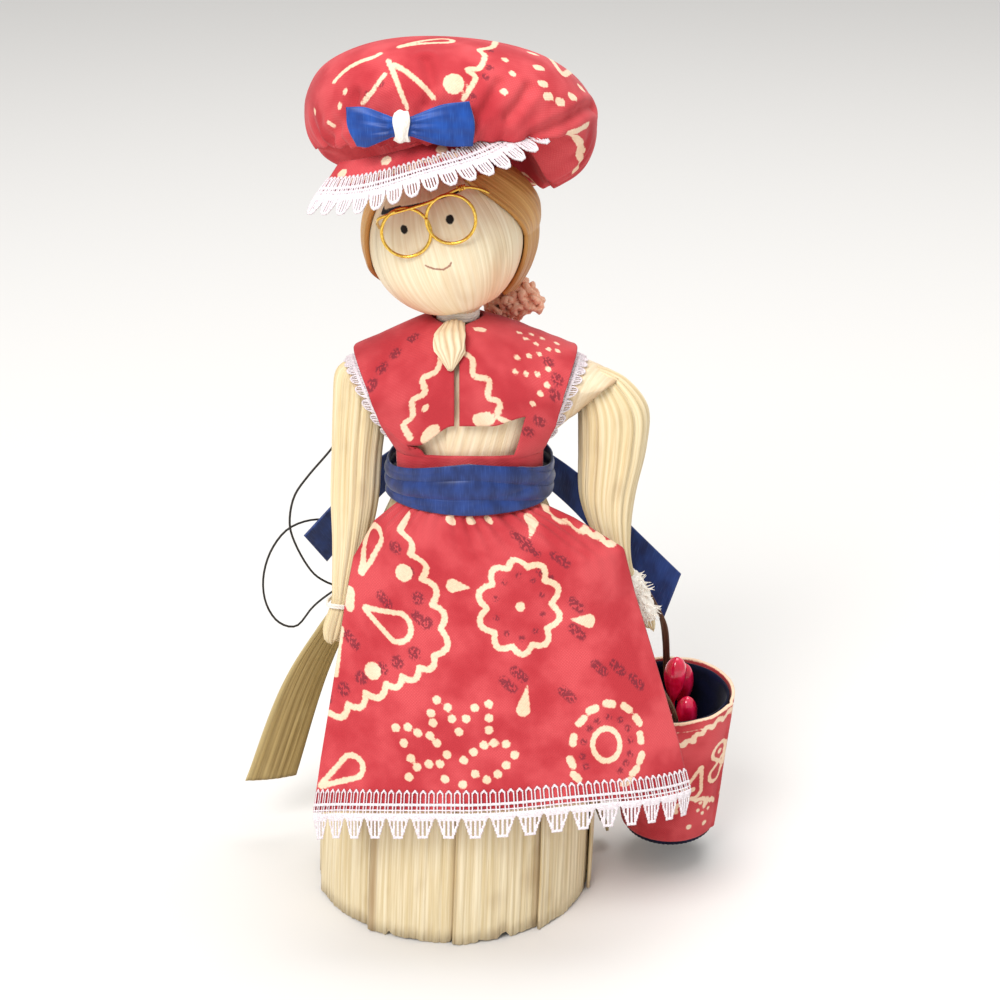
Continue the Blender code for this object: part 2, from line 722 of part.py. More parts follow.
def make_sash():
    grid = []
    for share in (0.0, 0.3, 0.65, 1.0):
        row = []
        for k in range(36):
            a = 2 * math.pi * k / 36
            sideways = abs(math.cos(a)) ** 1.5
            top = SASH_LOW + SASH_HEIGHT - SASH_SIDE_DROP * sideways
            row.append((WAIST_SHIFT + SASH_HALF_WIDTH * math.cos(a), SASH_HALF_DEPTH * math.sin(a),
                        SASH_LOW - 0.4 + (top - SASH_LOW + 0.4) * share))
        grid.append(row)
    sheet("sash", grid, RIBBON_T, SATIN, ring=True)


def from_waist(route):
    """A route whose heights are measured from the waist."""
    return [(x, y, WAIST_HEIGHT + rise) for x, y, rise in route]


def ribbon(name, route, widths, across, thickness, look, count=8, cols=3):
    """A ribbon along a route; across gives its crosswise direction at each end."""
    middle = smooth_route(route, count)
    grid = []
    for k, place in enumerate(middle):
        share = k / (count - 1)
        way = Vector(across[0]).lerp(Vector(across[1]), share).normalized()
        width = widths[0] + (widths[1] - widths[0]) * share
        grid.append([Vector(place) + way * width * (c / (cols - 1) - 0.5) for c in range(cols)])
    sheet(name, grid, thickness, look)


def make_back_bow():
    rings = []
    for rise, wide, deep in KNOT_SECTIONS:
        rings.append(oval_ring((BOW_KNOT[0], BOW_KNOT[1], BOW_KNOT[2] + rise), wide, deep, 12))
    loft("sash_knot", rings, SATIN)
    ribbon("sash_tail_right", from_waist(RIGHT_TAIL), TAIL_WIDTHS, RIGHT_TAIL_ACROSS, RIBBON_T, SATIN)
    ribbon("sash_tail_left", from_waist(LEFT_TAIL), TAIL_WIDTHS, LEFT_TAIL_ACROSS, RIBBON_T, SATIN)


# Apron rows: height as a share from hem to waist, left and right edges, their depths, the middle's depth

APRON = (
    (1.0083, -8.0, 14.2, -5.8, -5.8, -11.95),
    (0.9625, -8.2, 14.4, -5.8, -5.8, -11.95),
    (0.9458, -8.6, 14.8, -6.0, -6.0, -12.25),
    (0.8958, -10.5, 20.5, -7.6, -7.0, -13.9),
    (0.7917, -16.2, 28.8, -11.5, -8.0, -16.4),
    (0.6458, -17.6, 30.6, -14.0, -10.0, -19.5),
    (0.4792, -18.8, 33.3, -18.5, -14.5, -22.8),
    (0.3333, -20.0, 35.6, -22.3, -18.2, -25.3),
    (0.1667, -21.4, 38.0, -26.0, -20.6, -27.6),
    (0.0, -22.6, 39.9, -29.6, -21.5, -29.8),
)
APRON_TURN = math.radians(62.0)
APRON_COLS = 12
LACE_OVERLAP = 2.7


def apron_heights():
    return [APRON_HEM_HEIGHT + (WAIST_HEIGHT - APRON_HEM_HEIGHT) * row[0] for row in APRON]


def apron_base(share, height):
    """A point on the apron: share runs from -1 at its left edge to 1 at its right."""
    heights = apron_heights()[::-1]
    left, right, y_left, y_right, y_middle = (
        np.interp(height, heights, [row[k] for row in APRON][::-1]) for k in range(1, 6))
    below = min(0.0, height - APRON_HEM_HEIGHT)
    y_drop = 0.35 * below
    turn = share * APRON_TURN
    side = math.sin(turn) / math.sin(APRON_TURN)
    bulge = (math.cos(turn) - math.cos(APRON_TURN)) / (1.0 - math.cos(APRON_TURN))
    edge = y_left + (y_right - y_left) * (side + 1) / 2
    x = (left + right) / 2 + (right - left) / 2 * side
    return Vector((x, edge * (1 - bulge) + y_middle * bulge + y_drop, height))


def apron_point(share, height, out):
    across = apron_base(share + 0.01, height) - apron_base(share - 0.01, height)
    along = apron_base(share, height + 0.3) - apron_base(share, height - 0.3)
    return apron_base(share, height) + out * across.cross(along).normalized()


def make_apron():
    heights = apron_heights()
    grid = [[apron_base(-1 + 2 * c / APRON_COLS, z) for c in range(APRON_COLS + 1)] for z in heights]
    sheet("apron", grid, CLOTH_T, PRINT)
    out = CLOTH_T / 2 + GAP + LACE_T / 2 + 0.03
    top = APRON_HEM_HEIGHT + LACE_OVERLAP
    valley = APRON_HEM_HEIGHT - 1.5
    tip = top - APRON_LACE_HEIGHT
    rows = [[], []]
    for k in range(4 * APRON_TEETH + 1):
        share = -1 + 2 * k / (4 * APRON_TEETH)
        foot = tip if k % 4 in (2, 3) else valley
        rows[0].append(apron_point(share, top, out))
        rows[1].append(apron_point(share, foot, out))
    sheet("apron_lace", rows, LACE_T, LACE)


# Hat

BRIM_TURN = math.radians(6.0)
BRIM_COLS = 14
HAT_BOW = (-5.3, -19.5, HEAD_HEIGHT + 22.1)
HAT_BOW_HALF = 9.7
HAT_BOW_TILT = math.radians(1.5)
BAND_HALF = 1.3


def hat_point(turn, polar):
    """A point on the puffed crown before it is tipped; gathers show underneath."""
    under = max(0.0, -math.cos(polar)) * math.sin(polar)
    gather = HAT_GATHER_DEPTH * math.cos(HAT_GATHERS * turn) * under
    low = Vector((math.sin(polar) * math.cos(turn), math.sin(polar) * math.sin(turn), math.cos(polar)))
    plump = (abs(low.x) ** 2.5 + abs(low.y) ** 2.5 + abs(low.z) ** 2.5) ** (-1 / 2.5)
    swell = 1.0 + 0.5 * (plump - 1.0)
    return Vector((low.x * swell * HAT_HALF_WIDTH + gather * math.cos(turn),
                   low.y * swell * HAT_HALF_DEPTH + gather * math.sin(turn),
                   low.z * swell * HAT_HALF_HEIGHT))


def head_frame(radius, turn, rise):
    """A point round the head's own axis, which leans with HEAD_ROLL; turn 0 is the front."""
    x = radius * math.sin(turn)
    y = -radius * math.cos(turn)
    return Vector((HEAD_SHIFT + x * math.cos(HEAD_ROLL) - rise * math.sin(HEAD_ROLL), y,
                   HEAD_HEIGHT + x * math.sin(HEAD_ROLL) + rise * math.cos(HEAD_ROLL)))


def brim_point(share, turn, out):
    radius = BRIM_INNER + (BRIM_OUTER - BRIM_INNER) * share
    rise = BRIM_INNER_RISE + (BRIM_OUTER_RISE - BRIM_INNER_RISE) * share
    slope = math.atan2(BRIM_INNER_RISE - BRIM_OUTER_RISE, BRIM_OUTER - BRIM_INNER)
    return head_frame(radius + out * math.sin(slope), turn, rise + out * math.cos(slope))


BRIM_ROOM_OUT = CLOTH_T / 2 + GAP + LACE_T + GAP + 0.1
BRIM_ROOM_DEEP = 14.0
BRIM_ROOM_MARGIN = math.radians(6.0)


def make_brim_room():
    """The space of the brim and its lace, which the crown rests over."""
    half = BRIM_HALF_ANGLE + BRIM_ROOM_MARGIN
    turns = [BRIM_TURN - half + 2 * half * k / BRIM_COLS for k in range(BRIM_COLS + 1)]
    shares = (-0.5, 2.2)
    top = [[brim_point(s, t, BRIM_ROOM_OUT) for t in turns] for s in shares]
    low = [[brim_point(s, t, -BRIM_ROOM_DEEP) for t in turns] for s in shares]
    cutter = panel("brim_room_cutter", top, low, PRINT)
    cutter.hide_render = True
    cutter.display_type = "WIRE"
    return cutter


def make_crown():
    rings = []
    for polar in np.linspace(math.radians(6.0), math.radians(174.0), 15):
        rings.append([hat_point(2 * math.pi * k / (2 * HAT_GATHERS), polar) for k in range(2 * HAT_GATHERS)])
    crown = loft("hat_crown", rings, PRINT)
    crown.location = Vector((HEAD_SHIFT + 1.1, HAT_SETBACK, HAT_HEIGHT)) * MM
    crown.rotation_euler = (-HAT_PITCH, HAT_ROLL, 0.0)
    room = [half + HAIR_T / 2 + GAP + 0.15 for half in HAIR_HALVES]
    cutter_rings = []
    for a in np.linspace(0.1, math.pi - 0.1, 17):
        level = (0.0, 0.0, room[2] * math.cos(a))
        cutter_rings.append(oval_ring(level, room[0] * math.sin(a), room[1] * math.sin(a), 32))
    cutter = loft("head_room_cutter", cutter_rings, PRINT)
    cutter.location = (head_centre() + Vector(HAIR_SHIFT)) * MM
    cutter.hide_render = True
    cutter.display_type = "WIRE"
    cut = crown.modifiers.new("head_room", "BOOLEAN")
    cut.operation = "DIFFERENCE"
    cut.object = cutter
    brim_cutter = make_brim_room()
    over = crown.modifiers.new("brim_room", "BOOLEAN")
    over.operation = "DIFFERENCE"
    over.object = brim_cutter


def make_brim():
    turns = [BRIM_TURN - BRIM_HALF_ANGLE + 2 * BRIM_HALF_ANGLE * k / BRIM_COLS for k in range(BRIM_COLS + 1)]
    grid = [[brim_point(share, turn, 0.0) for turn in turns] for share in (0.0, 0.35, 0.7, 1.0)]
    sheet("hat_brim", grid, CLOTH_T, PRINT)
    out = CLOTH_T / 2 + GAP + LACE_T / 2 + 0.03
    depth = BRIM_OUTER - BRIM_INNER
    rows = [[], []]
    for k in range(4 * BRIM_TEETH + 1):
        turn = BRIM_TURN - BRIM_HALF_ANGLE + 2 * BRIM_HALF_ANGLE * k / (4 * BRIM_TEETH)
        tip = 1.0 + (BRIM_LACE / depth if k % 4 in (2, 3) else 0.2)
        for row, share in zip(rows, (0.55, tip)):
            row.append(brim_point(share, turn, out))
    sheet("brim_lace", rows, LACE_T, LACE)


def make_hat_bow():
    rings = []
    for share, high, thick in ((-1.0, 3.0, 0.45), (-0.6, 3.0, 0.65), (-0.25, 1.9, 0.65), (-0.13, 1.5, 0.6),
                               (0.13, 1.5, 0.6), (0.25, 1.9, 0.65), (0.6, 3.1, 0.65), (1.0, 3.4, 0.45)):
        x = share * HAT_BOW_HALF
        bend = 0.9 * share * share
        centre = Vector(HAT_BOW) + Vector((x, bend, x * math.sin(HAT_BOW_TILT)))
        rings.append([centre + Vector((0.0, thick * math.cos(a), high * math.sin(a)))
                      for a in np.linspace(0, 2 * math.pi, 10, endpoint=False)])
    loft("hat_bow", rings, SATIN)
    outer = []
    inner = []
    for x in (-BAND_HALF, -0.5, 0.5, BAND_HALF):
        centre = Vector(HAT_BOW) + Vector((x * 0.8, 0.0, 0.0))
        angles = np.linspace(0, 2 * math.pi, 14, endpoint=False)
        ring = [Vector((0.0, math.cos(a), math.sin(a))) for a in angles]
        inner.append([centre + Vector((0, p.y * (0.65 + GAP), p.z * (1.55 + GAP))) for p in ring])
        outer.append([centre + Vector((0, p.y * (1.1 + GAP), p.z * (2.0 + GAP))) for p in ring])
    panel("hat_bow_band", outer, inner, STRING, ring=True)


# Spectacles, bent from one wire

LENS_LEFT = (-6.4, 0.3 - HEAD_RADIUS, HEAD_HEIGHT + 4.1)
LENS_RIGHT = (0.6, -0.3 - HEAD_RADIUS, HEAD_HEIGHT + 6.4)
LEFT_TEMPLE = ((-14.6, -3.8, 3.6), (-13.0, -7.9, 4.8))
RIGHT_TEMPLE = ((9.2, -10.6, 7.6), (12.4, -7.0, 7.4))
WIRE_CROSSING = 0.7


def make_spectacles():
    left = Vector(LENS_LEFT)
    right = Vector(LENS_RIGHT)
    across = (right - left).normalized()
    up = Vector((-across.z, 0.0, across.x))
    back = Vector((0.0, 1.0, 0.0))

    def ring_points(centre, start, sweep, count):
        points = []
        for k in range(count):
            share = k / (count - 1)
            a = start + sweep * share
            points.append(centre + LENS_RADIUS * (math.cos(a) * across + math.sin(a) * up)
                          + back * WIRE_CROSSING * (0.5 - share))
        return points

    level = Vector((0.0, 0.0, HEAD_HEIGHT))
    route = [level + Vector(place) for place in LEFT_TEMPLE]
    route += ring_points(left, math.radians(150), math.radians(-400), 18)
    route += ring_points(right, math.radians(190), math.radians(-400), 18)
    route += [level + Vector(place) for place in RIGHT_TEMPLE]
    tube("spectacles", smooth_route(route, 62), WIRE_RADIUS, 5, BRASS)


# Basket, berries and handle

BASKET_LINING_T = 0.4
BASKET_CUT_EDGE = 0.6
# The handle hangs over the wrist; each height is a share from the basket's rim to there
HANDLE_OVER_WRIST = 2.4
HANDLE_ARCH = ((35.8, -6.9, 0.258), (31.8, -7.2, 0.54), (28.4, -6.0, 0.766), (27.2, -2.6, 0.919),
               (28.9, 1.3, 1.0), (31.8, 2.1, 0.952), (34.6, 3.9, 0.742), (37.4, 7.2, 0.46))
HANDLE_FOOT_TURN = math.radians(91.0)
HANDLE_TUCK = 4.0
BERRIES = (
    ((-1.2, 0.4), (1.0, 0.2), 6.6, 2.0),
    ((2.6, -2.6), (2.7, -3.4), 0.6, 1.9),
    ((1.6, 3.4), (2.8, 4.6), 2.6, 1.8),
    ((-5.0, -2.6), (-4.2, -3.6), 1.0, 1.9),
    ((-4.6, 3.6), (-5.0, 4.2), 2.2, 1.8),
    ((-0.6, -5.0), (-0.4, -6.2), -1.2, 1.8),
)
BERRY_LENGTH = 9.0
BERRY_PROFILE = ((0.75, 0.68), (0.45, 1.0), (0.2, 0.86), (0.05, 0.5), (0.0, 0.18))
STEM_RADIUS = 0.4


def basket_axes():
    axis = Vector(BASKET_AXIS).normalized()
    side = Vector((1.0, 0.0, 0.0))
    side = (side - axis * side.dot(axis)).normalized()
    return side, axis.cross(side), axis


def basket_point(radius, turn, depth):
    """A point by its radius, turn and depth below the rim, in the basket's own leaning frame."""
    side, front, axis = basket_axes()
    return (Vector(BASKET_CENTRE) - axis * depth + side * radius * math.cos(turn)
            + front * radius * math.sin(turn))


def basket_radius(depth):
    return BASKET_RIM + (BASKET_FOOT - BASKET_RIM) * depth / BASKET_DEPTH


def basket_ring(radius, depth):
    return [basket_point(radius, 2 * math.pi * k / BASKET_SIDES, depth) for k in range(BASKET_SIDES)]


def cup(name, clearance, wall, top, floor, look):
    """An open cup inside the basket's outline."""
    rings = [basket_ring(basket_radius(d) - clearance, d) for d in (floor + wall, (top + floor) / 2, top)]
    rings += [basket_ring(basket_radius(d) - clearance - wall, d) for d in (top, (top + floor) / 2, floor)]
    loft(name, rings, look)


def make_basket():
    cup("basket_wrap", 0.0, BASKET_WALL, 0.0, BASKET_DEPTH - BASKET_WALL, PRINT)
    cup("basket_lining", BASKET_WALL + GAP, BASKET_LINING_T, BASKET_CUT_EDGE,
        BASKET_DEPTH - BASKET_WALL - GAP - BASKET_LINING_T - 0.05, LINING)
    base_top = BASKET_DEPTH + GAP
    base_rings = [basket_ring(BASKET_FOOT - 0.2, base_top), basket_ring(BASKET_FOOT - 0.4, base_top + 0.8)]
    loft("basket_base", base_rings, LINING)
    feet = []
    for turn in (-HANDLE_FOOT_TURN, HANDLE_FOOT_TURN):
        radius = basket_radius(HANDLE_TUCK) - BASKET_WALL - BASKET_LINING_T - 2.5 * GAP - HANDLE_T / 2
        feet.append([basket_point(radius, turn, HANDLE_TUCK), basket_point(radius, turn, -1.0)])
    rim = BASKET_CENTRE[2]
    over = SHOULDER_HEIGHT + RIGHT_ARM[WRIST_SECTION][0] + HANDLE_OVER_WRIST
    arch = [(x, y, rim + (over - rim) * share) for x, y, share in HANDLE_ARCH]
    route = feet[0] + arch + feet[1][::-1]
    tube("basket_handle", smooth_route(route, 30), HANDLE_WIDTH / 2, 8, STRIP, HANDLE_T / HANDLE_WIDTH)
    floor = BASKET_DEPTH - BASKET_WALL - 2 * BASKET_LINING_T - 2 * GAP - 0.1
    side, front, axis = basket_axes()
    for number, (foot, head, rise, radius) in enumerate(BERRIES):
        bottom = Vector(BASKET_CENTRE) - axis * floor + side * foot[0] * 0.8 + front * foot[1] * 0.8
        top = Vector(BASKET_CENTRE) + axis * rise + side * head[0] + front * head[1]
        way = (top - bottom).normalized()
        length = (top - bottom).length
        u = way.cross(Vector((0.2, 1.0, 0.1))).normalized()
        v = way.cross(u)
        drop = BERRY_LENGTH / length
        rings = []
        sections = [(0.0, STEM_RADIUS), (1 - drop, STEM_RADIUS)]
        sections += [(1 - drop * left, radius * full) for left, full in BERRY_PROFILE]
        for share, r in sections:
            centre = bottom + way * length * share
            rings.append([centre + r * (math.cos(a) * u + math.sin(a) * v)
                          for a in np.linspace(0, 2 * math.pi, 8, endpoint=False)])
        loft("berry_%d" % (number + 1), rings, BERRY)


# Loose husk leaves and the hanging thread

TAIL_LEAF = ((-11.6, 14.6, -17.0), (-16.6, 15.4, -25.0), (-22.0, 14.6, -34.0), (-28.0, 14.0, -46.0),
             (-34.8, 13.0, -65.6))
TAIL_LEAF_WIDTHS = (6.0, 9.4)
SMALL_LEAF_WIDTHS = (3.0, 4.0)
SMALL_LEAF = ((24.9, 8.8, 15.0), (25.8, 8.9, 9.0), (27.6, 9.0, 3.4))
THREAD_ROUTE = (
    (2.1, 4.1, 105.8),
    (2.2, 5.6, 105.9),
    (1.0, 10.6, 106.0),
    (-5.0, 15.4, 98.0),
    (-13.0, 12.6, 89.0),
    (-20.4, 8.6, 79.5),
    (-25.0, 7.6, 74.2),
    (-27.6, 7.4, 70.4),
    (-28.6, 7.4, 66.0),
    (-28.2, 7.6, 62.4),
    (-26.2, 7.8, 57.6),
    (-24.0, 8.8, 54.2),
    (-20.6, 11.6, 51.4),
    (-18.6, 16.0, 51.4),
    (-19.4, 18.6, 55.6),
    (-21.6, 17.4, 61.0),
    (-25.0, 13.6, 63.4),
    (-29.2, 10.4, 63.0),
    (-32.2, 8.8, 59.6),
    (-33.8, 8.4, 54.6),
    (-33.6, 8.4, 49.6),
    (-31.6, 8.8, 45.6),
    (-28.4, 9.6, 44.4),
    (-25.6, 12.6, 46.8),
    (-22.4, 17.6, 47.6),
    (-16.0, 22.6, 50.0),
    (-9.0, 24.4, 58.0),
    (-4.6, 22.4, 70.0),
    (-2.6, 18.6, 84.0),
    (-0.6, 14.6, 97.0),
    (0.0, 9.4, 104.6),
    (0.4, 5.8, 105.6),
    (0.5, 4.1, 105.5),
)
THREAD_POINT_COUNT = 66


def make_leaves():
    tail_across = ((0.62, 0.62, 0.48), (0.99, 0.1, 0.05))
    small_across = ((-0.3, 0.95, 0.0), (-0.3, 0.95, 0.0))
    ribbon("loose_leaf_large", from_waist(TAIL_LEAF), TAIL_LEAF_WIDTHS, tail_across, HUSK_T, HUSK_SHADE)
    ribbon("loose_leaf_small", SMALL_LEAF, SMALL_LEAF_WIDTHS, small_across, HUSK_T, HUSK_SHADE, 5)


def make_thread():
    curve = bpy.data.curves.new("hanging_thread", "CURVE")
    curve.dimensions = "3D"
    curve.bevel_depth = THREAD_RADIUS * MM
    curve.bevel_resolution = 2
    curve.use_fill_caps = True
    points = smooth_route(THREAD_ROUTE, THREAD_POINT_COUNT)
    spline = curve.splines.new("POLY")
    spline.points.add(len(points) - 1)
    for slot, place in zip(spline.points, points):
        slot.co = (*(c * MM for c in place), 1.0)
    thread = bpy.data.objects.new("hanging_thread", curve)
    bpy.context.scene.collection.objects.link(thread)
    curve.materials.append(finish(*THREAD))


def set_on_ground():
    """Carry every piece on one empty, and centre the doll's box over the origin."""
    bpy.context.view_layer.update()
    graph = bpy.context.evaluated_depsgraph_get()
    low = Vector((1e9, 1e9, 1e9))
    high = -low
    pieces = [thing for thing in bpy.context.scene.objects if thing.type in ("MESH", "CURVE")]
    for piece in pieces:
        if piece.hide_render or piece.type == "CURVE":
            continue
        body = piece.evaluated_get(graph)
        mesh = body.to_mesh()
        for vertex in mesh.vertices:
            place = body.matrix_world @ vertex.co
            low = Vector(map(min, low, place))
            high = Vector(map(max, high, place))
        body.to_mesh_clear()
    root = bpy.data.objects.new("doll_root", None)
    bpy.context.scene.collection.objects.link(root)
    for piece in pieces:
        piece.parent = root
    root.location = (-(low.x + high.x) / 2, -(low.y + high.y) / 2, -low.z)


def main():
    clear_scene()
    make_skirt()
    make_waist_tie()
    make_torso()
    make_bodice()
    make_arms()
    make_head()
    make_hair()
    make_yarn_tie()
    make_cape()
    make_throat_knot()
    make_sash()
    make_back_bow()
    make_apron()
    make_crown()
    make_brim()
    make_hat_bow()
    make_spectacles()
    make_basket()
    make_leaves()
    make_thread()
    set_on_ground()


main()
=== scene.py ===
import bpy
import math
import numpy as np
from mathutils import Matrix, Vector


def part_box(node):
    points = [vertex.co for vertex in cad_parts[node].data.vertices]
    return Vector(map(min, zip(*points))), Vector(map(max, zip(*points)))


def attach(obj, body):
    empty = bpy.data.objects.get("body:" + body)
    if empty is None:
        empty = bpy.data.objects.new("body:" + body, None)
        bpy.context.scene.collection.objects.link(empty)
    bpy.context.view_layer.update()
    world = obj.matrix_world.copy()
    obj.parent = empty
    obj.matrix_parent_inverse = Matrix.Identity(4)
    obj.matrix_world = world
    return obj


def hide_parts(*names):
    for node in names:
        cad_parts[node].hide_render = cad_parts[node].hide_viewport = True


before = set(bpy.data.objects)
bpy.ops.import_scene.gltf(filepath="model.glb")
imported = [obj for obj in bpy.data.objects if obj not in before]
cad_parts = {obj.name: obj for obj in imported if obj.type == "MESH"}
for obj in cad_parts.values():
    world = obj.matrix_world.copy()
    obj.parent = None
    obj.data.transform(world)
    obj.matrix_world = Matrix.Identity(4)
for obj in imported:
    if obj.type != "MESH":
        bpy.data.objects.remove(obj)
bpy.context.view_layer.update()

# All shapes below are worked out in millimetres round the skirt's own axis, as in the part's source.
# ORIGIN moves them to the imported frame: the head ball's middle is at HEAD_SHIFT on that axis.
MM = 0.001
HEAD_SHIFT = -0.6
ball_low, ball_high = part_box("head_ball")
ORIGIN = np.array(((ball_low[0] + ball_high[0]) / 2 - HEAD_SHIFT * MM, (ball_low[1] + ball_high[1]) / 2, 0.0))
TURN = 2 * math.pi


def metres(points):
    """Points in millimetres round the skirt's axis, as metres in the frame."""
    return np.asarray(points, float) * MM + ORIGIN


def unit(vectors):
    length = np.linalg.norm(vectors, axis=-1, keepdims=True)
    return vectors / np.maximum(length, 1e-9)


def smooth_step(low, high, value):
    share = np.clip((value - low) / (high - low), 0.0, 1.0)
    return share * share * (3 - 2 * share)


def ripple(u, v, seed, layers=5, stretch=1.0):
    """A smooth random height from -1 to 1 over two coordinates."""
    rng = np.random.default_rng(seed)
    total = np.zeros(np.broadcast(u, v).shape)
    for layer in range(layers):
        way = rng.uniform(0, TURN)
        pitch = 0.6 + 0.55 * layer
        start = rng.uniform(0, TURN)
        total += np.sin(pitch * (u * math.cos(way) + v * math.sin(way) * stretch) + start) / (1 + 0.5 * layer)
    return total / 2.4


def smooth_route(points, count):
    """Points evenly placed by parameter on a smooth curve through the given ones."""
    p = np.asarray(points, float)
    padded = np.vstack((2 * p[0] - p[1], p, 2 * p[-1] - p[-2]))
    places = np.linspace(0, len(p) - 1, count)
    span = np.minimum(places.astype(int), len(p) - 2)
    t = (places - span)[:, None]
    a, b, c, d = (padded[span + k] for k in range(4))
    bend = 2 * a - 5 * b + 4 * c - d
    return 0.5 * (2 * b + (c - a) * t + bend * t ** 2 + (3 * b - a - 3 * c + d) * t ** 3)


def hump(value, middle, spread):
    """1 at the middle, falling off smoothly to both sides."""
    return np.exp(-((value - middle) / spread) ** 2)


def once_round(count):
    """Angles once round, without the one that repeats the first."""
    return np.linspace(0, TURN, count, endpoint=False)


def stacked(*parts):
    """Coordinates that may differ in shape, as the points of one grid."""
    return np.stack(np.broadcast_arrays(*parts), -1)


def path_lengths(points, axis=0):
    """Distance along a route, or along a grid's rows or columns, in millimetres."""
    steps = np.linalg.norm(np.diff(points, axis=axis), axis=-1)
    start = np.zeros_like(np.take(steps, [0], axis=axis))
    return np.concatenate((start, np.cumsum(steps, axis=axis)), axis=axis)


# Mesh building


def add_piece(name, mesh, look, node):
    """A new piece with its material, in place of one CAD node."""
    piece = bpy.data.objects.new(name, mesh)
    bpy.context.scene.collection.objects.link(piece)
    mesh.materials.append(look)
    mesh.polygons.foreach_set("use_smooth", np.ones(len(mesh.polygons), bool))
    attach(piece, "root")
    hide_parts(node)
    return piece


def add_fields(mesh, fields):
    for key, values in fields.items():
        values = np.asarray(values, float)
        kind, part = ("FLOAT_VECTOR", "vector") if values.ndim == 2 else ("FLOAT", "value")
        mesh.attributes.new(key, kind, "POINT").data.foreach_set(part, values.ravel())


def grid_faces(rows, cols, keep=None, wrap=False):
    count = cols if wrap else cols - 1
    r, c = np.meshgrid(np.arange(rows - 1), np.arange(count), indexing="ij")
    nxt = (c + 1) % cols
    faces = np.stack((r * cols + c, r * cols + nxt, (r + 1) * cols + nxt, (r + 1) * cols + c), -1)
    if keep is not None:
        return faces[keep]
    return faces.reshape(-1, 4)


def mesh_from(name, points, faces, fields):
    """A mesh in metres from points in millimetres, without the points that no face uses."""
    used = np.unique(faces)
    place = np.full(len(points), -1)
    place[used] = np.arange(len(used))
    mesh = bpy.data.meshes.new(name)
    mesh.from_pydata(metres(points[used]).tolist(), [], place[faces].tolist())
    add_fields(mesh, {key: np.asarray(values)[used] for key, values in fields.items()})
    mesh.update()
    return mesh


def flat_field(u, v):
    """The cloth's own flat coordinates in millimetres, which weave and fibres follow."""
    u, v = np.broadcast_arrays(u, v)
    return np.stack((u.ravel(), v.ravel(), np.zeros(u.size)), -1)


def sheet(name, points, look, thickness, node, fields, keep=None, wrap=False):
    """A thin sheet over a grid of points, given its thickness by Solidify."""
    rows, cols = points.shape[:2]
    fields = {key: np.asarray(value).reshape(rows * cols, -1).squeeze() for key, value in fields.items()}
    mesh = mesh_from(name, points.reshape(-1, 3), grid_faces(rows, cols, keep, wrap), fields)
    piece = add_piece(name, mesh, look, node)
    solid = piece.modifiers.new("thickness", "SOLIDIFY")
    solid.thickness = thickness * MM
    solid.offset = 0.0
    return piece


def cloth_area(points, keep=None):
    """The area of a grid of points, in square metres."""
    across = points[:-1, 1:] - points[:-1, :-1]
    down = points[1:, :-1] - points[:-1, :-1]
    cells = np.linalg.norm(np.cross(across, down), axis=-1)
    return float(cells[keep].sum() if keep is not None else cells.sum()) * MM * MM


def tube_grid(route, radius, sides, flat=1.0, side_way=(0.0, 0.0, 1.0)):
    """Rings along a route; radius may be one number or one for each point."""
    route = np.asarray(route, float)
    along = unit(np.gradient(route, axis=0))
    across = unit(np.cross(along, side_way))
    other = np.cross(along, across)
    angles = once_round(sides)
    radius = np.broadcast_to(radius, len(route))[:, None, None]
    ring = across[:, None, :] * np.cos(angles)[None, :, None]
    ring = ring + flat * other[:, None, :] * np.sin(angles)[None, :, None]
    return route[:, None, :] + radius * ring


def capped(name, points, look, node, fields):
    """A closed body from rings, with a fan at each end."""
    rows, cols = points.shape[:2]
    faces = grid_faces(rows, cols, wrap=True).tolist()
    ends = np.vstack((points[0].mean(0), points[-1].mean(0)))
    everything = np.vstack((points.reshape(-1, 3), ends))
    last = (rows - 1) * cols
    for c in range(cols):
        nxt = (c + 1) % cols
        faces.append([nxt, c, rows * cols])
        faces.append([last + c, last + nxt, rows * cols + 1])
    mesh = bpy.data.meshes.new(name)
    mesh.from_pydata(metres(everything).tolist(), [], faces)
    for key, value in fields.items():
        value = np.asarray(value).reshape(rows * cols, -1)
        value = np.vstack((value, value[:1], value[-1:])).squeeze()
        add_fields(mesh, {key: value})
    mesh.update()
    return add_piece(name, mesh, look, node)


def joined(name, parts, look, node):
    """Several closed tubes or pads as one piece; parts are (points, field) grids of rings."""
    sides = []
    ends = []
    start = 0
    for grid, flat in parts:
        rows, cols = grid.shape[:2]
        last = start + (rows - 1) * cols
        sides += (grid_faces(rows, cols, wrap=True) + start).tolist()
        ends += [list(range(start + cols - 1, start - 1, -1)), list(range(last, last + cols))]
        start += rows * cols
    points = np.vstack([grid.reshape(-1, 3) for grid, flat in parts])
    mesh = bpy.data.meshes.new(name)
    mesh.from_pydata(metres(points).tolist(), [], sides + ends)
    add_fields(mesh, {"flat": np.vstack([flat.reshape(-1, 3) for grid, flat in parts])})
    mesh.update()
    return add_piece(name, mesh, look, node)


def strand(route, radius, sides=6, side_way=(0.0, 0.0, 1.0)):
    """One tube of a joined piece, with its fibre coordinates."""
    grid = tube_grid(route, radius, sides, side_way=side_way)
    field = flat_field(once_round(sides)[None, :] * 0.5, path_lengths(route)[:, None])
    return grid, field.reshape(len(route), sides, 3)


# Materials


def tint(red, green, blue):
    """A colour as a photograph shows it, 0 to 255, for Blender's linear sockets."""
    share = np.array((red, green, blue)) / 255.0
    linear = np.where(share <= 0.04045, share / 12.92, ((share + 0.055) / 1.055) ** 2.4)
    return (*linear, 1.0)


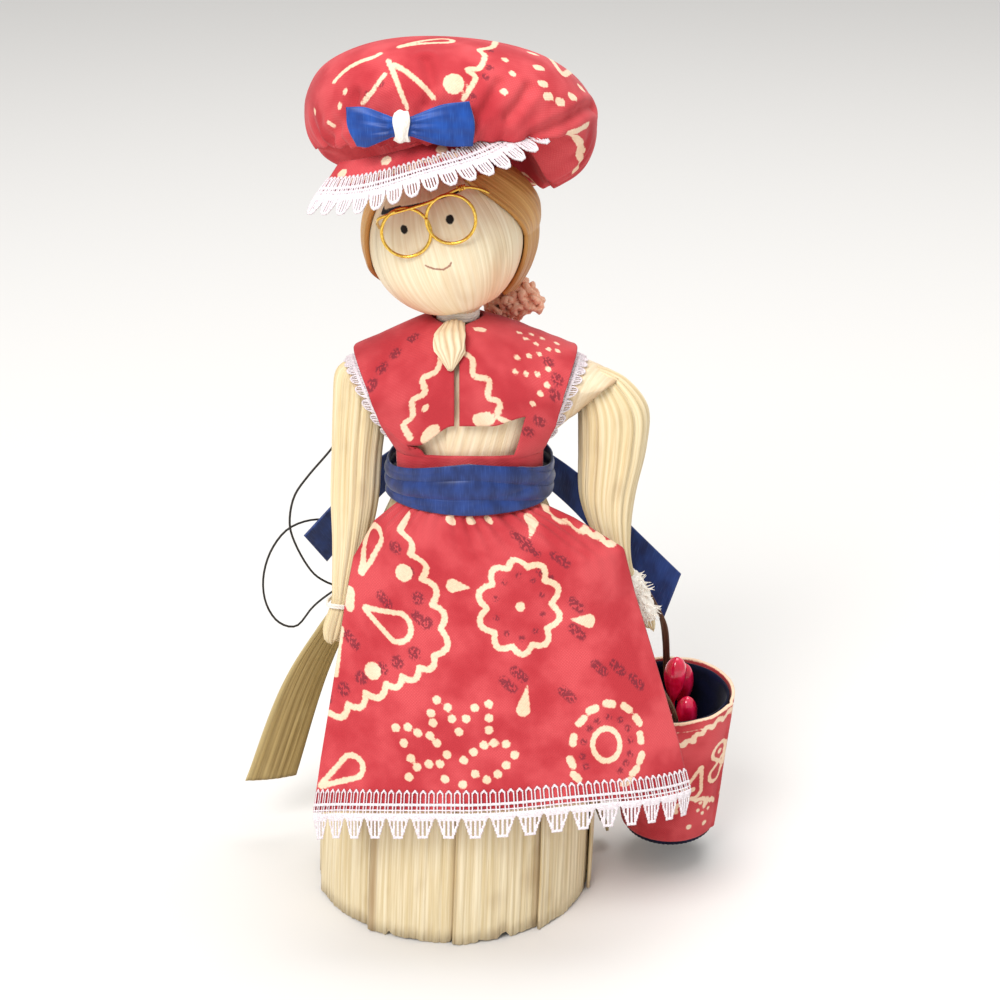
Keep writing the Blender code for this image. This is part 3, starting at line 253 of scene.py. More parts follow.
class Look:
    """One material, built node by node. Sockets may be given as a node's output or as a value."""

    def __init__(self, name, roughness=0.8, specular=0.2, sheen=0.0, coat=0.0, metallic=0.0, solid=False):
        self.solid = solid
        self.material = bpy.data.materials.new(name)
        self.material.use_nodes = True
        self.nodes = self.material.node_tree.nodes
        self.links = self.material.node_tree.links
        self.shader = self.nodes["Principled BSDF"]
        values = {"Roughness": roughness, "Specular IOR Level": specular, "Sheen Weight": sheen,
                  "Coat Weight": coat, "Metallic": metallic, "Sheen Roughness": 0.4}
        for socket, value in values.items():
            self.shader.inputs[socket].default_value = value

    def give(self, value, socket):
        if isinstance(value, bpy.types.NodeSocket):
            self.links.new(value, socket)
        else:
            socket.default_value = value

    def field(self, name, output="Fac"):
        node = self.nodes.new("ShaderNodeAttribute")
        node.attribute_name = name
        return node.outputs[output]

    def flat(self, across, along):
        """The piece's flat coordinates, or a solid's places, in waves of noise for each millimetre."""
        node = self.nodes.new("ShaderNodeVectorMath")
        node.operation = "MULTIPLY"
        if self.solid:
            place = self.nodes.new("ShaderNodeTexCoord").outputs["Object"]
            self.links.new(place, node.inputs[0])
            node.inputs[1].default_value = (across / MM, across / MM, along / MM)
        else:
            self.links.new(self.field("flat", "Vector"), node.inputs[0])
            node.inputs[1].default_value = (across, along, 1.0)
        return node.outputs[0]

    def noise(self, across, along, detail=2.0):
        """Noise with so many waves for each millimetre across and along."""
        vector = self.flat(across, along)
        node = self.nodes.new("ShaderNodeTexNoise")
        self.links.new(vector, node.inputs["Vector"])
        node.inputs["Scale"].default_value = 1.0
        node.inputs["Detail"].default_value = detail
        return node.outputs[0]

    def sum(self, operation, first, second=0.0):
        """A Math node."""
        node = self.nodes.new("ShaderNodeMath")
        node.operation = operation
        self.give(first, node.inputs[0])
        self.give(second, node.inputs[1])
        return node.outputs[0]

    def plus(self, first, second):
        return self.sum("ADD", first, second)

    def times(self, first, second):
        return self.sum("MULTIPLY", first, second)

    def span(self, value, low, high):
        """0 at low and 1 at high, smoothly."""
        node = self.nodes.new("ShaderNodeMapRange")
        node.interpolation_type = "SMOOTHSTEP"
        self.give(value, node.inputs["Value"])
        node.inputs["From Min"].default_value = low
        node.inputs["From Max"].default_value = high
        return node.outputs[0]

    def mix(self, share, first, second):
        node = self.nodes.new("ShaderNodeMix")
        node.data_type = "RGBA"
        self.give(share, node.inputs[0])
        self.give(first, node.inputs[6])
        self.give(second, node.inputs[7])
        return node.outputs[2]

    def colour(self, value):
        self.give(value, self.shader.inputs["Base Color"])

    def bump(self, height, strength, distance=0.05):
        node = self.nodes.new("ShaderNodeBump")
        node.inputs["Strength"].default_value = strength
        node.inputs["Distance"].default_value = distance * MM
        self.give(height, node.inputs["Height"])
        self.links.new(node.outputs[0], self.shader.inputs["Normal"])


def husk_colour(look, pale, deep, stain_and_shade, ribs):
    """Fibres along the leaf, pale and deep streaks and a few stains, and painted shade from the 'shade'
    field, mixed towards the same colour as the stains; returns the colour and the height.
    """
    streaks = look.noise(ribs, 0.035, 3.0)
    fine = look.noise(ribs * 3.5, 0.05)
    cloud = look.noise(0.16, 0.07)
    share = look.plus(look.times(streaks, 0.7), look.times(fine, 0.3))
    base = look.mix(look.span(share, 0.34, 0.66), deep, pale)
    stained = look.mix(0.35, base, stain_and_shade)
    base = look.mix(look.span(cloud, 0.52, 0.75), base, stained)
    # Painted shade: the 'shade' field darkens the husk towards the colour of its stains.
    shade = look.times(look.field("shade"), 0.9)
    height = look.plus(streaks, look.times(fine, 0.5))
    return look.mix(shade, base, stain_and_shade), height


def husk_look(name, pale, deep, stain_and_shade, ribs, gloss=0.5):
    """Dry corn husk."""
    look = Look(name, roughness=gloss, specular=0.25)
    colour, height = husk_colour(look, pale, deep, stain_and_shade, ribs)
    look.colour(colour)
    look.bump(height, 0.8, 0.16)
    return look.material


def face_look(name):
    """The head's husk with its drawn eyes and mouth, its tinted cheeks, and a painted black shadow line under
    the forehead's painted shade.
    """
    look = Look(name, roughness=0.5, specular=0.25)
    pale = tint(248, 236, 206)
    colour, height = husk_colour(look, pale, tint(234, 214, 176), tint(190, 150, 100), 1.5)
    colour = look.mix(look.times(look.field("blush"), 0.6), colour, tint(236, 156, 108))
    ragged = look.times(look.sum("SUBTRACT", look.noise(3.0, 3.0), 0.5), 0.25)
    mouth = look.span(look.plus(look.field("mouth"), ragged), 0.1, -0.1)
    colour = look.mix(look.times(mouth, 0.8), colour, tint(140, 58, 40))
    # The eyes' black also draws the painted black shadow line under the forehead's shade.
    eyes = look.span(look.plus(look.field("eyes"), ragged), 0.1, -0.1)
    look.colour(look.mix(eyes, colour, tint(22, 18, 16)))
    look.bump(height, 0.7, 0.14)
    return look.material


def weave_height(look, pitch):
    """Threads over and under one another, as a height."""
    node = look.nodes.new("ShaderNodeSeparateXYZ")
    look.links.new(look.flat(TURN / pitch, TURN / pitch), node.inputs[0])
    across = look.sum("SINE", node.outputs[0])
    along = look.sum("SINE", node.outputs[1])
    return look.times(across, along)


PRINT_THREAD_PITCH = 0.5
LINING_THREAD_PITCH = 0.45
RED = tint(206, 78, 83)
RED_DEEP = tint(182, 54, 61)
RED_WORN = tint(228, 112, 112)
CREAM = tint(248, 230, 200)
CREAM_DEEP = tint(240, 206, 172)
DARK_PRINT = tint(96, 40, 52)


def print_look(name):
    """Printed cotton: 'print' and 'dark' are distances in millimetres from the motifs' edges."""
    look = Look(name, roughness=0.9, specular=0.12, sheen=0.12)
    weave = weave_height(look, PRINT_THREAD_PITCH)
    patches = look.noise(0.11, 0.11, 3.0)
    threads = look.noise(2.0, 2.0, 1.0)
    ground = look.mix(look.span(patches, 0.35, 0.65), RED_DEEP, RED)
    grain = look.times(look.span(weave, 0.1, 0.9), look.span(patches, 0.42, 0.7))
    ground = look.mix(look.times(grain, 0.42), ground, RED_WORN)
    ragged = look.times(look.sum("SUBTRACT", threads, 0.5), 0.38)
    spots = look.span(look.noise(2.6, 1.7, 1.0), 0.42, 0.5)
    inside_dark = look.span(look.plus(look.field("dark"), ragged), 0.25, -0.25)
    shown_dark = look.times(look.times(inside_dark, spots), 0.68)
    ground = look.mix(shown_dark, ground, DARK_PRINT)
    edge = look.plus(look.field("print"), ragged)
    ink = look.times(look.span(edge, 0.13, -0.13), look.sum("SUBTRACT", 1.0, look.times(threads, 0.25)))
    cream = look.mix(look.span(patches, 0.3, 0.7), CREAM_DEEP, CREAM)
    look.colour(look.mix(ink, ground, cream))
    look.bump(weave, 0.35, 0.05)
    return look.material


def plain_cloth_look(name, base, deep):
    look = Look(name, roughness=0.85, specular=0.15, sheen=0.1)
    weave = weave_height(look, LINING_THREAD_PITCH)
    patches = look.noise(0.25, 0.25)
    look.colour(look.mix(look.span(patches, 0.3, 0.7), deep, base))
    look.bump(weave, 0.25, 0.04)
    return look.material


def satin_look(name, base, deep, light):
    """Ribbon: fine ribs across its width and a soft shine."""
    look = Look(name, roughness=0.42, specular=0.35, sheen=0.25)
    ribs = look.noise(0.4, 7.0, 1.0)
    patches = look.noise(0.22, 0.35)
    ground = look.mix(look.span(patches, 0.3, 0.7), deep, base)
    # Painted sheen: the ribs' raised parts are mixed towards the lighter blue.
    look.colour(look.mix(look.times(look.span(ribs, 0.5, 0.75), 0.35), ground, light))
    look.bump(ribs, 0.3, 0.05)
    return look.material


def fibre_look(name, base, deep, across, along, roughness, strength):
    """Spun thread, yarn or string."""
    look = Look(name, roughness=roughness, specular=0.15, sheen=0.2)
    twist = look.noise(across, along)
    look.colour(look.mix(look.span(twist, 0.35, 0.65), deep, base))
    look.bump(twist, strength, 0.1)
    return look.material


def wire_look(name):
    look = Look(name, roughness=0.22, specular=0.5, metallic=1.0)
    marks = look.noise(3.0, 1.5)
    look.colour(look.mix(look.span(marks, 0.3, 0.7), tint(214, 160, 48), tint(250, 214, 110)))
    look.bump(marks, 0.1, 0.02)
    return look.material


def berry_look(name):
    look = Look(name, roughness=0.2, specular=0.5, coat=0.6)
    blush = look.noise(0.5, 0.35)
    look.colour(look.mix(look.span(blush, 0.35, 0.7), tint(206, 8, 52), tint(240, 36, 90)))
    look.bump(blush, 0.08, 0.1)
    return look.material


HUSK = husk_look("husk", tint(236, 222, 190), tint(211, 190, 146), tint(142, 104, 58), ribs=1.7)
HUSK_PALE = husk_look("husk_pale", tint(246, 230, 200), tint(229, 205, 166), tint(176, 130, 82), ribs=1.5)
HUSK_ARM = husk_look("husk_arm", tint(240, 224, 188), tint(216, 192, 144), tint(126, 84, 44), ribs=2.0)
HUSK_OLIVE = husk_look("husk_olive", tint(170, 146, 96), tint(134, 112, 70), tint(206, 186, 136), ribs=1.6)
HUSK_HAIR = husk_look("husk_hair", tint(218, 172, 104), tint(186, 130, 66), tint(168, 98, 44), ribs=1.8,
                      gloss=0.38)
FACE = face_look("face_husk")
PRINT = print_look("red_print")
LINING = plain_cloth_look("navy_lining", tint(8, 14, 48), tint(4, 8, 28))
SATIN = satin_look("blue_ribbon", tint(32, 60, 126), tint(20, 38, 88), tint(60, 90, 156))
SATIN_BRIGHT = satin_look("bright_blue_ribbon", tint(24, 80, 170), tint(14, 54, 128), tint(52, 106, 192))
LACE = fibre_look("white_lace", tint(240, 234, 236), tint(216, 202, 208), 4.0, 4.0, 0.8, 0.5)
STRING = fibre_look("white_string", tint(252, 248, 240), tint(236, 226, 212), 5.0, 1.5, 0.85, 0.7)
YARN = fibre_look("salmon_yarn", tint(255, 212, 182), tint(248, 176, 144), 3.0, 2.0, 0.95, 0.8)
STRIP = husk_look("brown_strip", tint(132, 100, 78), tint(98, 70, 52), tint(60, 42, 32), ribs=3.0)
WIRE = wire_look("gold_wire")
BERRY = berry_look("crimson_berry")
THREAD = fibre_look("dark_thread", tint(62, 58, 54), tint(36, 34, 32), 4.0, 3.0, 0.7, 0.4)


# Camera, floor and light

CAMERA_PLACE = (8.2, -320.0, 200.4)
CAMERA_TILT = math.radians(68.23)
PHOTO_SIDE = 1000
FOCAL_PIXELS = 2022.6
SENSOR = 36.0
FLOOR_SIDE = 8.0
SKY_STRENGTH = 0.62
# Lamps: name, place in metres, size in metres and watts; both point at the doll's middle
LIT_PLACE = (0.0, 0.0, 0.08)
LAMPS = (
    ("key", (-0.35, -0.75, 0.85), 0.55, 9.5),
    ("top", (0.15, 0.15, 1.1), 0.8, 6.0),
)


def make_camera():
    camera = bpy.data.cameras.new("camera")
    camera.sensor_width = SENSOR
    camera.lens = SENSOR * FOCAL_PIXELS / PHOTO_SIDE
    camera.clip_start = 0.01
    viewer = bpy.data.objects.new("camera", camera)
    viewer.location = metres(CAMERA_PLACE)
    viewer.rotation_euler = (CAMERA_TILT, 0.0, 0.0)
    bpy.context.scene.collection.objects.link(viewer)
    bpy.context.scene.camera = viewer


def make_floor():
    half = FLOOR_SIDE / 2
    mesh = bpy.data.meshes.new("floor")
    corners = [(-half, -half, 0.0), (half, -half, 0.0), (half, half, 0.0), (-half, half, 0.0)]
    mesh.from_pydata(corners, [], [(0, 1, 2, 3)])
    floor = bpy.data.objects.new("floor", mesh)
    look = Look("pale_floor", roughness=0.95, specular=0.05)
    cloud = look.noise(1.0, 1.0, 1.0)
    look.colour(look.mix(cloud, tint(226, 224, 221), tint(230, 228, 225)))
    mesh.materials.append(look.material)
    bpy.context.scene.collection.objects.link(floor)


def make_area_light(name, place, target, size, watts):
    lamp = bpy.data.lights.new(name, "AREA")
    lamp.shape = "DISK"
    lamp.size = size
    lamp.energy = watts
    thing = bpy.data.objects.new(name, lamp)
    thing.location = place
    from_target = np.asarray(place) - np.asarray(target)
    level = math.hypot(from_target[0], from_target[1])
    heading = math.atan2(from_target[0], -from_target[1])
    thing.rotation_euler = (math.atan2(level, from_target[2]), 0.0, heading)
    bpy.context.scene.collection.objects.link(thing)


def make_light():
    world = bpy.data.worlds.new("studio")
    world.use_nodes = True
    sky = world.node_tree.nodes["Background"]
    sky.inputs["Color"].default_value = (1.0, 1.0, 1.0, 1.0)
    sky.inputs["Strength"].default_value = SKY_STRENGTH
    bpy.context.scene.world = world
    for name, place, size, watts in LAMPS:
        make_area_light(name, place, LIT_PLACE, size, watts)
    bpy.context.scene.view_settings.view_transform = "Standard"


make_camera()
make_floor()
make_light()


# The hanging thread: the same route as its CAD tube

THREAD_ROUTE = (
    (2.1, 4.1, 105.8),
    (2.2, 5.6, 105.9),
    (1.0, 10.6, 106.0),
    (-5.0, 15.4, 98.0),
    (-13.0, 12.6, 89.0),
    (-20.4, 8.6, 79.5),
    (-25.0, 7.6, 74.2),
    (-27.6, 7.4, 70.4),
    (-28.6, 7.4, 66.0),
    (-28.2, 7.6, 62.4),
    (-26.2, 7.8, 57.6),
    (-24.0, 8.8, 54.2),
    (-20.6, 11.6, 51.4),
    (-18.6, 16.0, 51.4),
    (-19.4, 18.6, 55.6),
    (-21.6, 17.4, 61.0),
    (-25.0, 13.6, 63.4),
    (-29.2, 10.4, 63.0),
    (-32.2, 8.8, 59.6),
    (-33.8, 8.4, 54.6),
    (-33.6, 8.4, 49.6),
    (-31.6, 8.8, 45.6),
    (-28.4, 9.6, 44.4),
    (-25.6, 12.6, 46.8),
    (-22.4, 17.6, 47.6),
    (-16.0, 22.6, 50.0),
    (-9.0, 24.4, 58.0),
    (-4.6, 22.4, 70.0),
    (-2.6, 18.6, 84.0),
    (-0.6, 14.6, 97.0),
    (0.0, 9.4, 104.6),
    (0.4, 5.8, 105.6),
    (0.5, 4.1, 105.5),
)
THREAD_RADIUS = 0.2
THREAD_POINTS = 130


def make_thread():
    route = smooth_route(THREAD_ROUTE, THREAD_POINTS)
    curve = bpy.data.curves.new("thread_loop", "CURVE")
    curve.dimensions = "3D"
    curve.bevel_depth = THREAD_RADIUS * MM
    curve.bevel_resolution = 2
    curve.use_fill_caps = True
    spline = curve.splines.new("POLY")
    spline.points.add(len(route) - 1)
    for point, place in zip(spline.points, metres(route)):
        point.co = (*place, 1.0)
    curve.materials.append(THREAD)
    piece = bpy.data.objects.new("thread_loop", curve)
    bpy.context.scene.collection.objects.link(piece)
    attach(piece, "root")
    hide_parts("hanging_thread")
    length = np.linalg.norm(np.diff(route, axis=0), axis=1).sum() * MM


make_thread()


# Skirt of husk leaves

HEM_RADIUS = 24.4
WAIST_HEIGHT = 77.0
WAIST_HALF_WIDTH = 10.4
WAIST_HALF_DEPTH = 9.0
WAIST_SHIFT = 3.1
SKIRT_BELL = 2.6
SKIRT_CLOSE = 0.92
LEAF_COUNT = 10
LEAF_PITCH = TURN / LEAF_COUNT
LEAF_START = math.radians(-18.0)
LEAF_OVERLAP = 1.0 / 3.0
LEAF_FALL = 1.0
HUSK_T = 0.45
RIBS_ROUND = 118
# The leaf at the front's left with painted brown shade in the crease along its edge, counted from 0
CREASE_SHADE_LEAF = 7


def lifted(base, a, b, out, step_a, step_b):
    """Points of a surface, moved out along its normal."""
    along_a = base(a + step_a, b) - base(a - step_a, b)
    along_b = base(a, b + step_b) - base(a, b - step_b)
    return base(a, b) + np.asarray(out)[..., None] * unit(np.cross(along_a, along_b))


def skirt_base(angle, height):
    share = (1.0 - np.clip(height / WAIST_HEIGHT, 0.0, 1.0) ** SKIRT_BELL) ** SKIRT_CLOSE
    half_width = WAIST_HALF_WIDTH + (HEM_RADIUS - WAIST_HALF_WIDTH) * share
    half_depth = WAIST_HALF_DEPTH + (HEM_RADIUS - WAIST_HALF_DEPTH) * share
    x = WAIST_SHIFT * height / WAIST_HEIGHT + half_width * np.cos(angle)
    return np.stack(np.broadcast_arrays(x, half_depth * np.sin(angle), height), -1)


def level_out(angle, height, out):
    """Moved out level near the hem, so that the hem stays at its height."""
    way = lifted(skirt_base, angle, np.clip(height, 0.05, WAIST_HEIGHT - 0.5), 1.0 + 0 * height, 0.01, 0.05)
    way = way - skirt_base(angle, np.clip(height, 0.05, WAIST_HEIGHT - 0.5))
    way[..., 2] *= np.clip(height / 6.0, 0.0, 1.0)
    return skirt_base(angle, height) + np.asarray(out)[..., None] * unit(way)


def rib_height(phase, along, seed):
    """Irregular ribs of a husk leaf, as a height from about -1 to 1."""
    drift = 0.5 * ripple(phase * 0.12, along * 0.05, seed, 3)
    fine = np.sin(phase + drift) + 0.6 * np.sin(0.53 * phase + 1.3 * seed + drift)
    return 0.6 * fine + 0.4 * np.sin(1.9 * phase + 0.7 * seed)


def hem_height(turn, seed):
    """The cut hem is a little uneven, with a few chips."""
    uneven = 0.34 + 0.3 * ripple(turn * 40.0, 0.0 * turn, seed, 4)
    chip = np.clip(ripple(turn * 34.0, 0.0 * turn + 3.0, seed + 40, 4) - 0.3, 0.0, 0.8)
    ragged = ripple(turn * 90.0, 0.0 * turn, seed + 9, 3) ** 2
    notch = 0.35 * np.clip(np.sin(61.0 * turn + 2.0 * seed), 0, 1) * ragged
    return np.clip(uneven + notch, 0.02, 1.2) + 2.4 * chip


def make_leaf(number):
    cols = 70
    rows = 34
    start = LEAF_START + number * LEAF_PITCH
    share = np.linspace(0.0, 1.0, cols)[None, :]
    rise = (1.0 - (1.0 - np.linspace(0.0, 1.0, rows)) ** 1.25)[:, None]
    angle = start + share * LEAF_PITCH * (1.0 + LEAF_OVERLAP) + 0 * rise
    hem = hem_height(angle, number + 1)
    height = hem + (WAIST_HEIGHT - hem) * rise
    ribs = rib_height(RIBS_ROUND * angle, height, number + 1)
    swell = 0.35 * ripple(angle * 9.0, height * 0.05, number + 11, 3)
    swell = swell * smooth_step(0.0, 0.3, rise) * (1 - rise)
    free = hump(share, 0, 0.07)
    lift = LEAF_FALL * (0.5 - share) + 0.12 * ribs + 0.4 * swell + 0.22 * free * (1 - rise)
    points = level_out(angle, height, lift)
    patchy = ripple(height * 0.2, 0 * angle, number + 5, 4)
    # Darker along each leaf's overlapping edge: partly the husk's browned edge, partly painted seam shade;
    # one leaf gets stronger painted crease shade there.
    edge = hump(share, 0, 0.03) * np.clip(0.4 + 0.8 * patchy, 0, 1)
    if number == CREASE_SHADE_LEAF:
        patchy = ripple(height * 0.3, 0 * angle, 2, 3)
        edge = 1.5 * hump(share, 0.03, 0.035) * (0.7 + 0.3 * patchy)
    # Painted shadow where the next leaf's edge lies over this one.
    beside = hump(share, 0.74, 0.02) * 0.5
    # Darker within about 1.6 mm of the floor, in patches along the hem.
    hem_patches = np.clip(ripple(angle * 20, 0 * height, number + 3, 4) + 0.2, 0, 1)
    low = 0.35 * hump(height, 0, 1.6) * hem_patches
    # Painted shade in the valleys between the ribs.
    valley = 0.16 * np.clip(-ribs, 0, 1)
    shade = np.clip(0.55 * edge + beside + low + valley, 0, 1)
    fields = {"flat": flat_field(angle * HEM_RADIUS + 31.0 * number, height), "shade": shade.ravel()}
    name = "skirt_leaf_%02d" % (number + 1)
    sheet(name, points, HUSK, HUSK_T, "skirt_husk_%02d" % (number + 1), fields)


for leaf_number in range(LEAF_COUNT):
    make_leaf(leaf_number)


# Ribbons and loose leaves


def ribbon_grid(route, widths, across, rows, cols, bow=0.0):
    """A strip along a route; across gives its crosswise direction at each end."""
    middle = smooth_route(route, rows)
    share = np.linspace(0, 1, rows)[:, None]
    way = unit(np.asarray(across[0], float) * (1 - share) + np.asarray(across[1], float) * share)
    width = widths[0] + (widths[1] - widths[0]) * share
    side = np.linspace(-0.5, 0.5, cols)
    points = middle[:, None, :] + way[:, None, :] * (width * side[None, :])[..., None]
    along = unit(np.gradient(middle, axis=0))
    normal = unit(np.cross(along, way))
    points = points + bow * (1 - 4 * side[None, :, None] ** 2) * normal[:, None, :]
    length = path_lengths(middle)[:, None] + 0 * side[None, :]
    return points, width * side[None, :], length, normal


LARGE_LEAF = ((-11.6, 14.6, 60.0), (-16.6, 15.4, 52.0), (-22.0, 14.6, 43.0), (-28.0, 14.0, 31.0),
              (-34.8, 13.0, 11.4))
LARGE_LEAF_WIDTHS = (6.0, 9.4)
LARGE_LEAF_ACROSS = ((0.62, 0.62, 0.48), (0.99, 0.1, 0.05))
SMALL_LEAF = ((24.9, 8.8, 15.0), (25.8, 8.9, 9.0), (27.6, 9.0, 3.4))
SMALL_LEAF_WIDTHS = (3.0, 4.0)
SMALL_LEAF_ACROSS = ((-0.3, 0.95, 0.0), (-0.3, 0.95, 0.0))


def make_loose_leaf(name, route, widths, across, node, seed):
    points, u, v, normal = ribbon_grid(route, widths, across, 90, 40, bow=0.5)
    ribs = rib_height(5.2 * u, v, seed)
    points = points + (0.07 * ribs + 0.25 * ripple(u * 0.4, v * 0.12, seed))[..., None] * normal[:, None, :]
    pale_edge = np.exp(-((u - u.min(1, keepdims=True)) / 0.7) ** 2)
    fields = {"flat": flat_field(u, v), "shade": (0.8 * pale_edge).ravel()}
    sheet(name, points, HUSK_OLIVE, HUSK_T, node, fields)


make_loose_leaf("loose_leaf", LARGE_LEAF, LARGE_LEAF_WIDTHS, LARGE_LEAF_ACROSS, "loose_leaf_large", 3)
make_loose_leaf("small_leaf", SMALL_LEAF, SMALL_LEAF_WIDTHS, SMALL_LEAF_ACROSS, "loose_leaf_small", 8)


# Body: torso, shoulder husks and arms

SHOULDER_HEIGHT = 94.0
SHOULDER_TOP = 100.4
NECK_RISE = 3.4
CHEST_SHIFT = 3.2
CHEST_DEPTH = 9.7
WAIST_TOP = 79.0
BODICE_WAIST_HALF = 10.2
BODICE_LEFT_REACH = 20.0
BODICE_RIGHT_REACH = 24.6
BODICE_FULLNESS = 2.6
NECK_SHIFT = 1.3
NECK_ASIDE = NECK_SHIFT - CHEST_SHIFT
NECK_OPENING = 4.0
ROUND_SHARE = 0.45
TUCKED_SHARE = 0.82
SHOULDER_SPREAD = 11.5
SHOULDER_SLANT = 0.03
SHOULDER_FALL = 0.0095
CHEST_ROUND = 26.0


def body_base(aside, share):
    """The upper body from front waist (-1) over the shoulder (0) to back waist (1)."""
    aside, share = np.broadcast_arrays(aside, share)
    x = CHEST_SHIFT + aside
    below = np.clip((np.abs(share) - ROUND_SHARE) / (TUCKED_SHARE - ROUND_SHARE), 0.0, 1.0)
    round_half = CHEST_ROUND + (BODICE_WAIST_HALF + 1.4 - CHEST_ROUND) * below ** 0.8
    around = np.minimum(0.985, np.abs(aside) / round_half)
    depth = CHEST_DEPTH * np.sqrt(1.0 - around ** 2)
    away = x - NECK_SHIFT
    ridge = SHOULDER_TOP + NECK_RISE * hump(away, 0, SHOULDER_SPREAD) + SHOULDER_SLANT * away
    ridge = ridge - SHOULDER_FALL * away ** 2
    turn = np.minimum(np.abs(share) / ROUND_SHARE, 1.0) * math.pi / 2
    over = SHOULDER_HEIGHT + (ridge - SHOULDER_HEIGHT) * np.cos(turn)
    down = (np.abs(share) - ROUND_SHARE) / (1.0 - ROUND_SHARE)
    upright = SHOULDER_HEIGHT - (SHOULDER_HEIGHT - WAIST_TOP) * down
    height = np.where(np.abs(share) <= ROUND_SHARE, over, upright)
    return np.stack((x, np.sign(share) * depth * np.sin(turn), height), -1)


def body_point(aside, share, out):
    return lifted(body_base, aside, share, np.asarray(out), 0.3, 0.02)


def side_reach(share, top, waist, fullness):
    return waist + (top - waist) * (1.0 - np.minimum(1.0, np.abs(share) / TUCKED_SHARE) ** fullness)


def make_shoulder_husk(name, side, top, node, seed):
    share = np.linspace(-0.985, 0.985, 96)[:, None]
    outer = side * side_reach(share, top, BODICE_WAIST_HALF, BODICE_FULLNESS)
    blend = np.clip((np.abs(share) - 0.08) / 0.2, 0.0, 1.0)
    opening = NECK_ASIDE + side * NECK_OPENING
    inner = opening + (NECK_ASIDE - side * 1.8 - opening) * blend
    across = np.linspace(0, 1, 50)[None, :]
    aside = inner + (outer - inner) * across
    slant = aside - 7.0 * side * share
    ribs = rib_height(4.4 * slant, 12 * share, seed)
    out = 0.06 * ribs + 0.12 * ripple(slant * 0.6, share * 5, seed)
    out = out + 0.35 * side * hump(across, 0, 0.3) * blend
    points = body_point(aside, share + 0 * across, out)
    v = path_lengths(points, 0)
    shade = np.clip(0.25 * np.clip(-ribs, 0, 1) + 0.5 * hump(across, 1, 0.05), 0, 1)
    fields = {"flat": flat_field(slant, v), "shade": shade.ravel()}
    sheet(name, points, HUSK_PALE, HUSK_T, node, fields)


make_shoulder_husk("shoulder_left", -1, BODICE_LEFT_REACH, "bodice_husk_left", 2)
make_shoulder_husk("shoulder_right", 1, BODICE_RIGHT_REACH, "bodice_husk_right", 5)

# Arm sections from the shoulder down: height, sideways, depth, half width and half depth

LEFT_ARM = (
    (98.0, -13.6, 0.0, 3.4, 3.0),
    (95.6, -14.4, 0.0, 4.9, 4.0),
    (90.0, -15.0, 0.2, 4.9, 4.4),
    (82.0, -15.8, 0.0, 4.5, 4.6),
    (74.0, -16.3, -1.5, 4.3, 4.4),
    (67.0, -17.0, -4.0, 3.3, 3.6),
    (61.0, -18.0, -6.4, 2.3, 2.5),
    (57.0, -18.6, -7.4, 1.9, 2.0),
    (53.0, -19.6, -8.4, 2.3, 2.4),
    (50.5, -20.2, -9.0, 1.6, 1.8),
)
RIGHT_ARM = (
    (96.4, 22.8, 0.0, 2.4, 2.4),
    (94.0, 24.9, 0.0, 4.8, 3.9),
    (89.0, 27.0, 0.0, 6.2, 5.0),
    (82.0, 27.0, 0.0, 6.0, 5.2),
    (74.0, 26.3, -0.6, 5.0, 4.6),
    (68.0, 27.0, -1.6, 3.6, 3.6),
    (62.0, 28.8, -2.6, 2.0, 2.2),
    (57.0, 31.0, -3.0, 1.6, 1.6),
    (52.5, 33.2, -3.2, 1.5, 1.5),
    (50.0, 34.2, -3.2, 1.0, 1.0),
)


def make_arm(name, sections, pleats, node, seed):
    """A bundle of husk strips: deep pleats that run from the shoulder to the wrist."""
    rows = 76
    cols = 150
    smooth = smooth_route(sections, rows)
    z, x, y, wide, deep = (smooth[:, k][:, None] for k in range(5))
    angle = once_round(cols)[None, :]
    share = np.linspace(0, 1, rows)[:, None]
    wander = 0.35 * ripple(angle * 1.5, share * 4, seed, 3)
    phase = pleats * angle + 2.5 * wander + 1.2 * share
    fold = 1.0 - np.abs(np.sin(phase / 2)) ** 0.7 * 2
    size = 0.55 + 0.45 * np.sin(2 * angle + seed) * np.sin(3 * angle + 1.0)
    pleat = fold * size
    fine = rib_height(46 * angle, 4 * share, seed)
    swell = 1.0 - 0.1 - 0.10 * pleat + 0.012 * fine + 0.03 * ripple(angle * 2, share * 6, seed + 2)
    taper = smooth_step(0.0, 0.03, share) * smooth_step(0.0, 0.03, 1 - share)
    swell = swell * (0.75 + 0.25 * taper)
    points = stacked(x + wide * swell * np.cos(angle), y + deep * swell * np.sin(angle), z)
    points[..., 2] += 0.8 * ripple(angle * 3, 0 * share, seed + 4, 4) * (share > 0.97)
    shade = np.clip(0.85 * smooth_step(0.35, 1.0, pleat) * (0.5 + 0.5 * size), 0, 1)
    fields = {"flat": flat_field(angle * 5.2, 100 - z + 0 * angle), "shade": shade.ravel()}
    capped(name, points, HUSK_ARM, node, fields)


make_arm("arm_left", LEFT_ARM, 13, "left_arm_husk", 4)
make_arm("arm_right", RIGHT_ARM, 15, "right_arm_husk", 7)


def recolour(node, look):
    """A carried-over CAD node keeps its shape and gets a finished material."""
    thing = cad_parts[node]
    for slot in thing.material_slots:
        slot.material = look


def hidden_look(name, base, deep):
    look = Look(name, roughness=0.8, solid=True)
    look.colour(look.mix(look.noise(1.5, 0.1), deep, base))
    return look.material


recolour("torso_husk", hidden_look("torso_fibres", tint(226, 204, 160), tint(180, 146, 96)))
recolour("head_ball", hidden_look("foam", tint(240, 238, 232), tint(228, 226, 218)))


# Prints: motifs in each cloth's own flat millimetres

FAR = 3.0
# The photo's own eye, as fitted; the camera's place and tilt above are this, rounded
EYE = np.array((8.20225, -320.0, 200.41938))
EYE_TILT = 0.3798847
